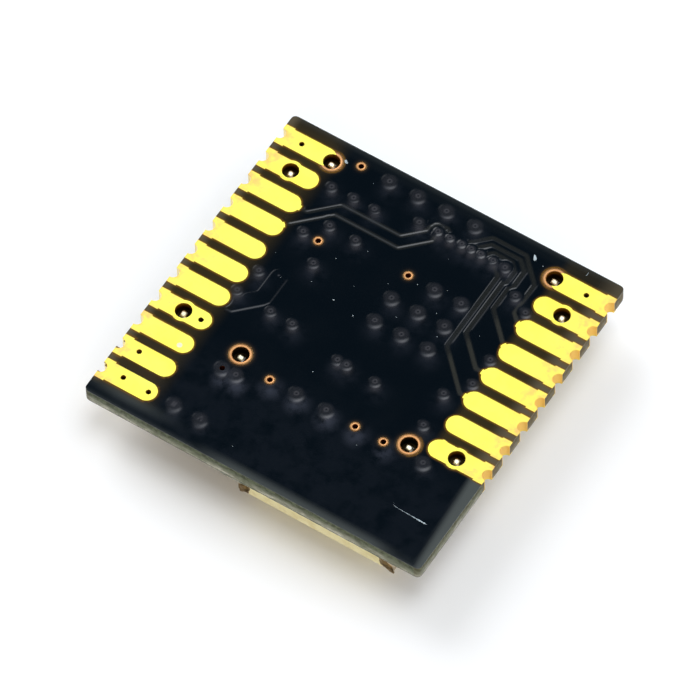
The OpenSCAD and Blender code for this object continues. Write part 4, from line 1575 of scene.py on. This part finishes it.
@dataclass
class AntennaSolder:
    """Stained solder over the antenna's end caps, at the antenna edge of the board."""

    finish: PlainMetal
    lumps: tuple[Lump, ...] = (Lump("antenna_solder_left", (-0.4, -7.27, 1.02), (0.25, 0.1, 0.27), 0.25),
                               Lump("antenna_solder_right", (6.02, -7.27, 1.05), (0.31, 0.1, 0.26), -0.6))
    rings: int = 26
    around: int = 44
    pole: float = 0.03
    boxy: float = 0.7
    heights: tuple[float, float, float] = (0.13, 0.078, 0.039)

    def build(self) -> list[bpy.types.Object]:
        """Makes a lump on each cap.

        A lump is a ball squeezed to a box, with a radius that three waves round it make uneven; it
        leans by a share of the way along the board's edge, and ends at the cap's top.

        Returns:
            The two lumps.
        """
        polar = np.linspace(self.pole, math.pi - self.pole, self.rings)[:, None]
        angle = round_angles(self.around)
        ball = surface(np.sin(polar) * np.cos(angle), np.sin(polar) * np.sin(angle), np.cos(polar))
        box = np.sign(ball) * np.abs(ball) ** self.boxy
        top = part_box("antenna_cap_left")[1].z
        large, small, fine = self.heights
        made = []
        for index, lump in enumerate(self.lumps):
            wave = (1 + large * np.sin(3 * angle + 2 * polar + index) * np.sin(2 * polar)
                    + small * np.sin(5 * angle - 3 * polar + 2 * index) * np.sin(polar)
                    + fine * np.sin(9 * angle + 7 * polar) * np.sin(polar))
            points = (np.array(lump.middle) + np.array(lump.half) * box * wave[..., None]) * MM
            points[..., 2] += lump.lean * (points[..., 0] - lump.middle[0] * MM)
            points[..., 2] = np.minimum(points[..., 2], top)
            made.append(add_piece(lump.name, points, ring_quads(self.rings, self.around)[:, ::-1],
                                  self.finish.make()))
        return made


@dataclass
class EdgeBurr:
    """A lip of torn glass fibre that hangs from the lower border of the cut edge."""

    finish: CutLaminate
    profile: tuple[Span, ...] = (
        (-3.2, 0.0), (-2.15, 0.06), (-1.47, 0.11), (-0.93, 0.14), (-0.3, 0.11), (0.4, 0.075),
        (2.0, 0.06), (5.3, 0.07), (6.65, 0.07), (7.3, 0.0))
    ragged: tuple[Wave, ...] = ((0.14, 9.1, 0.0), (0.1, 23.0, 1.0), (0.08, 51.0, 2.0))
    thick: float = 0.07 * MM
    inset: float = 0.002 * MM
    overlap: float = 0.01 * MM
    least: float = 0.03 * MM
    flat_share: float = 0.7
    columns: int = 400
    rows: int = 9

    def build(self) -> bpy.types.Object:
        """Makes the lip.

        Its section is a flat front, a half-round lower end and a flat back; its depth follows the
        profile along X in mm, and three waves make it ragged.

        Returns:
            The lip.
        """
        stops = np.array(self.profile)
        along = np.linspace(stops[0, 0], stops[-1, 0], self.columns)
        depth = np.interp(along, stops[:, 0], stops[:, 1]) * waves(along, self.ragged) * MM
        turn = np.linspace(0, math.pi, self.rows - 2)
        across = np.concatenate([[0.0], 0.5 - 0.5 * np.cos(turn), [1.0]])[:, None]
        round_end = self.flat_share + (1 - self.flat_share) * np.sin(turn)
        down = np.concatenate([[0.0], round_end, [0.0]])[:, None]
        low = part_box("laminate")[0]
        points = surface(along * MM, low.y + self.inset + self.thick * across,
                         low.z + self.overlap - down * (depth + self.least))
        return add_piece("cut_edge_burr", points, grid_quads(self.rows, self.columns),
                         self.finish.make())


@dataclass
class SurfaceMarks:
    """A scratch, dust and flakes on the film, at the places where they lie on the board, in mm."""

    pale: Mottled
    sink: float = 0.0005
    scratch: tuple[tuple[float, float, float], ...] = (
        (5.07, -5.36, 0.002), (5.16, -5.45, 0.003), (5.28, -5.555, 0.006), (5.7, -5.58, 0.01),
        (6.1, -5.59, 0.012), (6.35, -5.598, 0.026), (6.62, -5.604, 0.03), (6.76, -5.606, 0.006))
    scratch_waves: tuple[Wave, ...] = ((0.25, 23.0, 0.0), (0.2, 57.0, 1.0))
    scratch_grid: tuple[int, int] = (90, 7)
    scratch_slope: float = 0.3
    scratch_top: float = 0.012
    scratch_sink: float = 0.001
    specks: tuple[tuple[float, float, float], ...] = (
        (-1.65, 1.02, 0.03), (-0.63, 0.81, 0.026), (-0.57, -2.15, 0.02), (0.83, 1.64, 0.017),
        (2.62, 1.72, 0.016), (-1.32, 1.98, 0.01), (-2.6, 2.67, 0.016), (-1.73, 3.6, 0.018),
        (1.1, 4.96, 0.01), (-0.27, 2.77, 0.014), (-4.72, 1.66, 0.008), (4.38, 6.61, 0.017),
        (-1.35, -6.59, 0.014), (2.62, -4.04, 0.016), (3.99, 2.61, 0.012), (-4.67, 6.655, 0.075),
        (-2.83, 1.28, 0.015), (0.71, 3.34, 0.018), (2.04, 2.6, 0.016), (-1.44, 7.11, 0.014),
        (1.84, 3.72, 0.012), (-3.23, 6.37, 0.012), (-3.94, 0.8, 0.016))
    speck_rings: tuple[Span, ...] = ((1.0, 0.0), (0.85, 0.55), (0.5, 0.9), (0.02, 1.0))
    speck_waves: tuple[Span, Span] = ((0.3, 2), (0.15, 3))
    speck_around: int = 12
    speck_rise: float = 0.6
    speck_top: float = 0.018
    flake_middle: Span = (3.92, 6.765)
    flake_half: Span = (0.14, 0.06)
    flake_turn: float = 2.16
    flake_rise: float = 0.018
    flake_waves: tuple[Wave, ...] = ((0.14, 3, 1.0), (0.09, 7, 0.0))
    flake_rings: tuple[Span, ...] = ((1.0, 0.0), (0.97, 0.7), (0.7, 0.95), (0.35, 1.0), (0.02, 1.0))
    flake_around: int = 28
    hair_foot: Span = (6.015, 7.105)
    hair_length: float = 0.2
    hair_bow: float = 0.02
    hair_radius: float = 0.009
    hair_lift: float = 0.0085
    hair_tips: Span = (0.04, 0.96)
    hair_grid: tuple[int, int] = (12, 8)

    def build(self) -> list[bpy.types.Object]:
        """Makes the scratch, the specks, the flake and the hair.

        Returns:
            The four pieces.
        """
        material = self.pale.make()
        shapes = {"scratch_burr": self.shape_scratch(), "dust_specks": self.shape_specks(),
                  "white_flake": self.shape_flake(), "pale_fibre": self.shape_hair()}
        base = np.array([0.0, 0.0, film_level()])
        return [add_piece(name, points * MM + base, quads, material)
                for name, (points, quads) in shapes.items()]

    def shape_scratch(self) -> tuple[np.ndarray, np.ndarray]:
        """A raised burr along a path; its section is half a sine wave of the path's own width.

        Returns:
            Its points in mm over the film, and its faces.
        """
        rows, columns = self.scratch_grid
        path = np.array(self.scratch)
        way = np.concatenate([[0], np.cumsum(np.hypot(*np.diff(path[:, :2], axis=0).T))])
        along = np.linspace(0, way[-1], rows)
        x, y, half = (np.interp(along, way, path[:, k])[:, None] for k in range(3))
        half = half * waves(along, self.scratch_waves)[:, None]
        slope = np.hstack([np.gradient(x, axis=0), np.gradient(y, axis=0)])
        slope /= np.linalg.norm(slope, axis=1, keepdims=True)
        across = np.linspace(-1, 1, columns)
        height = self.scratch_slope * half * np.cos(across * math.pi / 2)
        points = surface(x - slope[:, 1:] * half * across, y + slope[:, :1] * half * across,
                         np.minimum(height, self.scratch_top) - self.scratch_sink)
        return points, grid_quads(rows, columns)[:, ::-1]

    def shape_specks(self) -> tuple[np.ndarray, np.ndarray]:
        """Low uneven domes of dust.

        Each is a ring of points whose radius two waves at random phases make uneven, under flatter
        rings and a tip.

        Returns:
            The specks' points in mm over the film, and their faces.
        """
        x, y, size = np.array(self.specks).T[:, :, None, None]
        draw = np.random.default_rng(SEED)
        phase = draw.uniform(0, 2 * math.pi, (len(self.specks), 2, 1, 1))
        angle = round_angles(self.speck_around)
        share, level = np.array(self.speck_rings).T[:, :, None]
        uneven = tuple((*wave, phase[:, k]) for k, wave in enumerate(self.speck_waves))
        radius = size * share * waves(angle, uneven)
        height = np.minimum(size * self.speck_rise, self.speck_top) * level - self.sink
        points = surface(x + radius * np.cos(angle), y + radius * np.sin(angle), height)
        return points, ring_quads(len(self.speck_rings), self.speck_around, len(self.specks))

    def shape_flake(self) -> tuple[np.ndarray, np.ndarray]:
        """One white flake, an oval sheet with a ragged border.

        Returns:
            Its points in mm over the film, and its faces.
        """
        angle = round_angles(self.flake_around)
        share, level = np.array(self.flake_rings).T[:, :, None]
        out = share * waves(angle, self.flake_waves)
        u, v = self.flake_half[0] * out * np.cos(angle), self.flake_half[1] * out * np.sin(angle)
        c, s = math.cos(self.flake_turn), math.sin(self.flake_turn)
        points = surface(self.flake_middle[0] + c * u - s * v, self.flake_middle[1] + s * u + c * v,
                         self.flake_rise * level - self.sink)
        return points, ring_quads(len(self.flake_rings), self.flake_around)

    def shape_hair(self) -> tuple[np.ndarray, np.ndarray]:
        """A short pale fibre by the far edge: a thin tube along a slight bow.

        Returns:
            Its points in mm over the film, and its faces.
        """
        rows, around = self.hair_grid
        t = np.linspace(0, 1, rows)[:, None]
        angle = round_angles(around)
        radius = self.hair_radius * np.sqrt(np.sin(math.pi * np.clip(t, *self.hair_tips)))
        points = surface(self.hair_foot[0] + self.hair_bow * np.sin(math.pi * t) + radius * np.cos(angle),
                         self.hair_foot[1] + self.hair_length * t, self.hair_lift + radius * np.sin(angle))
        return points, ring_quads(rows, around)[:, ::-1]


# Studio


@dataclass(frozen=True)
class SoftLamp:
    """A round glow in the sky: its direction, its outer and inner angle in degrees, level and tint."""

    way: Direction
    reach: Span
    level: float
    tint: Colour = (1.0, 1.0, 1.0, 1.0)


@dataclass
class Studio:
    """White table, soft light and the camera.

    The ranges of the sky's light are cosines of the angle to a direction.
    """

    far_light: Colour = (0.74, 0.86, 1.04, 1.0)
    near_light: Colour = (0.2, 0.19, 0.15, 1.0)
    gap_light: Colour = (0.015, 0.03, 0.05, 1.0)
    dim_light: Colour = (0.2, 0.2, 0.2, 1.0)
    bright_way: Direction = (0.1, 0.995, 0.0)
    bright_range: Span = (-0.6, 0.6)
    dim_way: Direction = (-0.707, -0.707, 0.0)
    dim_range: Span = (0.5, 0.85)
    gap_across: Span = (0.4, 0.14)
    gap_ahead: Span = (0.0, 0.15)
    gap_upper: Span = (0.94, 0.87)
    gap_lower: Span = (0.2, 0.45)
    lamps: tuple[SoftLamp, ...] = (
        SoftLamp((0.0615, 0.156, 0.986), (22.0, 9.0), 2.8),
        SoftLamp((-0.75, 0.433, 0.5), (25.0, 9.0), 5.8, (0.98, 1.0, 1.04, 1.0)),
        SoftLamp((0.785, 0.453, 0.423), (28.0, 9.0), 0.9, (1.05, 1.0, 0.9, 1.0)),
        SoftLamp((0.441, -0.765, 0.469), (28.0, 9.0), 1.9, (1.25, 1.0, 0.68, 1.0)))
    floor_half: float = 3.0
    floor_tone: Colour = (0.95, 0.95, 0.95, 1.0)
    floor_lift: float = 0.05
    aim: tuple[float, float, float] = (0.1136 * MM, -0.5684 * MM, 2.27 * MM)
    azimuth: float = math.radians(33.783)
    elevation: float = math.radians(57.871)
    roll: float = math.radians(-1.475)
    distance: float = 305.456 * MM
    lens: float = 409.12
    sensor: float = 36.0
    clip: Span = (0.01, 20.0)

    def build(self) -> None:
        """Sets the stage round the module."""
        bpy.context.scene.view_settings.view_transform = "Standard"
        self.make_floor()
        self.make_sky()
        self.make_camera()

    def make_floor(self) -> None:
        """A white table at the level of the can's lid, which looks a little lighter to the camera."""
        material = bpy.data.materials.new("white_table")
        material.use_nodes = True
        graph = Graph(material.node_tree)
        surface_shader = graph.add("ShaderNodeBsdfDiffuse", {"Color": self.floor_tone})
        path = graph.add("ShaderNodeLightPath")
        seen = graph.math("MAXIMUM", path.outputs["Is Camera Ray"], path.outputs["Is Glossy Ray"])
        seen = graph.math("MAXIMUM", seen, path.outputs["Is Transmission Ray"])
        glow = graph.add("ShaderNodeEmission", {"Strength": graph.times(seen, self.floor_lift)})
        both = graph.add("ShaderNodeAddShader", {0: surface_shader.outputs[0], 1: glow.outputs[0]})
        graph.add("ShaderNodeOutputMaterial", {"Surface": both.outputs[0]})
        reach = self.floor_half
        mesh = bpy.data.meshes.new("table")
        mesh.from_pydata([(-reach, -reach, 0), (reach, -reach, 0), (reach, reach, 0), (-reach, reach, 0)],
                         [], [(0, 1, 2, 3)])
        mesh.materials.append(material)
        table = bpy.data.objects.new("table", mesh)
        bpy.context.scene.collection.objects.link(table)

    def make_sky(self) -> None:
        """Light from all round, dim from the near left, with soft lamps overhead and at the sides.

        A dark gap lies where the flat film mirrors the sky to the camera.
        """
        world = bpy.data.worlds.new("studio")
        world.use_nodes = True
        graph = Graph(world.node_tree)
        way = graph.add("ShaderNodeTexCoord").outputs["Generated"]

        def toward(direction: Direction) -> bpy.types.NodeSocket:
            """Cosine of the angle between a ray and a direction."""
            return graph.add("ShaderNodeVectorMath", {0: way, 1: direction},
                             operation="DOT_PRODUCT").outputs["Value"]

        ahead = toward((-math.sin(self.azimuth), math.cos(self.azimuth), 0.0))
        across = graph.math("ABSOLUTE", toward((math.cos(self.azimuth), math.sin(self.azimuth), 0.0)))
        height = toward((0.0, 0.0, 1.0))
        base = graph.mix(graph.spread(toward(self.bright_way), *self.bright_range),
                         self.near_light, self.far_light)
        base = graph.mix(graph.spread(toward(self.dim_way), *self.dim_range), base, self.dim_light)
        gap = graph.times(graph.spread(across, *self.gap_across), graph.spread(ahead, *self.gap_ahead))
        gap = graph.times(gap, graph.spread(height, *self.gap_upper))
        gap = graph.times(gap, graph.spread(height, *self.gap_lower))
        base = graph.mix(gap, base, self.gap_light)
        sky = graph.add("ShaderNodeBackground", {"Color": base, "Strength": 1.0})
        for lamp in self.lamps:
            outer, inner = (math.cos(math.radians(angle)) for angle in lamp.reach)
            level = graph.spread(toward(lamp.way), outer, inner, 0.0, lamp.level)
            glow = graph.add("ShaderNodeBackground", {"Color": lamp.tint, "Strength": level})
            sky = graph.add("ShaderNodeAddShader", {0: sky.outputs[0], 1: glow.outputs[0]})
        graph.add("ShaderNodeOutputWorld", {"Surface": sky.outputs[0]})
        bpy.context.scene.world = world

    def make_camera(self) -> None:
        """The camera at the photograph's viewing angle."""
        flat = math.cos(self.elevation)
        back = Vector((math.sin(self.azimuth) * flat, -math.cos(self.azimuth) * flat,
                       math.sin(self.elevation)))
        data = bpy.data.cameras.new("camera")
        data.lens = self.lens
        data.sensor_width = self.sensor
        data.clip_start, data.clip_end = self.clip
        camera = bpy.data.objects.new("camera", data)
        camera.location = Vector(self.aim) + back * self.distance
        camera.rotation_mode = "QUATERNION"
        level = (-back).to_track_quat("-Z", "Y")
        camera.rotation_quaternion = level @ Quaternion((0, 0, 1), self.roll)
        bpy.context.scene.collection.objects.link(camera)
        bpy.context.scene.camera = camera


@dataclass
class RadioModule:
    """The whole module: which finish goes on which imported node, and the pieces that are added."""

    film: GlossFilm = GlossFilm("black_mask", "solder_mask")
    gold: SoftGold = SoftGold("soft_gold", "gold")
    copper: DrilledCopper = DrilledCopper("bare_copper", "copper")
    # The sleeves' walls are darker still, as painted shade in the leg holes
    sleeve: DrilledCopper = DrilledCopper("sleeve_copper", "copper", wall=srgb(92, 66, 26),
                                          deep=srgb(34, 26, 12))
    rims: RimCopper = RimCopper("copper_rim", "copper")
    laminate: CutLaminate = CutLaminate("cut_laminate", "laminate")
    steel: PlainMetal = PlainMetal("tinned_sheet", "can_steel", srgb(205, 206, 205), srgb(182, 184, 184),
                                   (0.26, 0.4), 700.0)
    solder: PlainMetal = PlainMetal("bright_solder", "solder", srgb(240, 236, 208), srgb(224, 218, 186),
                                    (0.34, 0.46))
    flux: PlainMetal = PlainMetal("stained_solder", "solder", srgb(70, 58, 36), srgb(34, 26, 14), (0.45, 0.6))
    tin: PlainMetal = PlainMetal("matt_tin", "tin", srgb(205, 206, 207), srgb(180, 180, 180), (0.4, 0.55))
    end_cap: PlainMetal = PlainMetal("soldered_cap", "antenna_cap", srgb(214, 200, 176),
                                     srgb(176, 160, 134), (0.4, 0.6), 3500.0)
    stained: PlainMetal = PlainMetal("stained_cap", "antenna_cap", srgb(132, 110, 74), srgb(72, 56, 30),
                                     (0.4, 0.6), 3500.0)
    cream: Mottled = Mottled("cream_ceramic", "antenna_ceramic", srgb(244, 238, 192), srgb(226, 216, 164))
    resin: Mottled = Mottled("moulded_resin", "chip_mould", srgb(38, 38, 40), srgb(28, 28, 30),
                             (0.5, 0.7), 4000.0)
    dark_fired: Mottled = Mottled("dark_ceramic", "crystal_ceramic", srgb(96, 92, 84), srgb(78, 74, 68))
    tan_fired: Mottled = Mottled("tan_ceramic", "capacitor_ceramic", srgb(190, 165, 130), srgb(170, 142, 106))
    blue_fired: Mottled = Mottled("blue_ceramic", "inductor_ceramic", srgb(122, 138, 148), srgb(98, 114, 126))
    dust: Mottled = Mottled("pale_dust", "solder_mask", srgb(178, 192, 198), srgb(146, 160, 166))

    def dress_nodes(self) -> None:
        """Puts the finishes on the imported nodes."""
        contacts = sorted(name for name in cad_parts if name.startswith("contact_"))
        dress(self.gold.make(), [*contacts, "component_lands"])
        dress(self.film.make(), ["front_mask"])
        dress(self.laminate.make(), ["laminate"])
        dress(self.copper.make(), ["open_vias", "tented_vias"])
        dress(self.sleeve.make(), ["leg_sleeve_left", "leg_sleeve_right"])
        dress(self.solder.make(), ["via_plug"])
        dress(self.flux.make(), ["leg_solder"])
        dress(self.steel.make(), ["shield_can"])
        dress(self.cream.make(), ["antenna_body"])
        dress(self.end_cap.make(), ["antenna_cap_left", "antenna_cap_right"])
        dress(self.tin.make(), ["radio_chip_contacts", "crystal_lid", "memory_chip_contacts",
                                "regulator_leads", "radio_filter_contacts", "capacitor_caps",
                                "resistor_caps", "inductor_caps"])
        dress(self.resin.make(), ["radio_chip", "memory_chip", "regulator", "resistors"])
        dress(self.blue_fired.make(), ["radio_filter", "inductors"])
        dress(self.dark_fired.make(), ["crystal_base"])
        dress(self.tan_fired.make(), ["capacitors"])

    def build(self) -> None:
        """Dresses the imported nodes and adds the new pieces."""
        self.dress_nodes()
        MaskFilm(self.film).build()
        LegTips(self.solder).build()
        CopperRings(self.rims).build()
        LandBurr(self.gold).build()
        AntennaSolder(self.stained).build()
        EdgeBurr(self.laminate).build()
        SurfaceMarks(self.dust).build()


def main() -> None:
    """Builds the studio and the module."""
    logging.basicConfig(level=logging.INFO, format="%(name)s %(message)s")
    Studio().build()
    RadioModule().build()


if __name__ == "__main__":
    main()
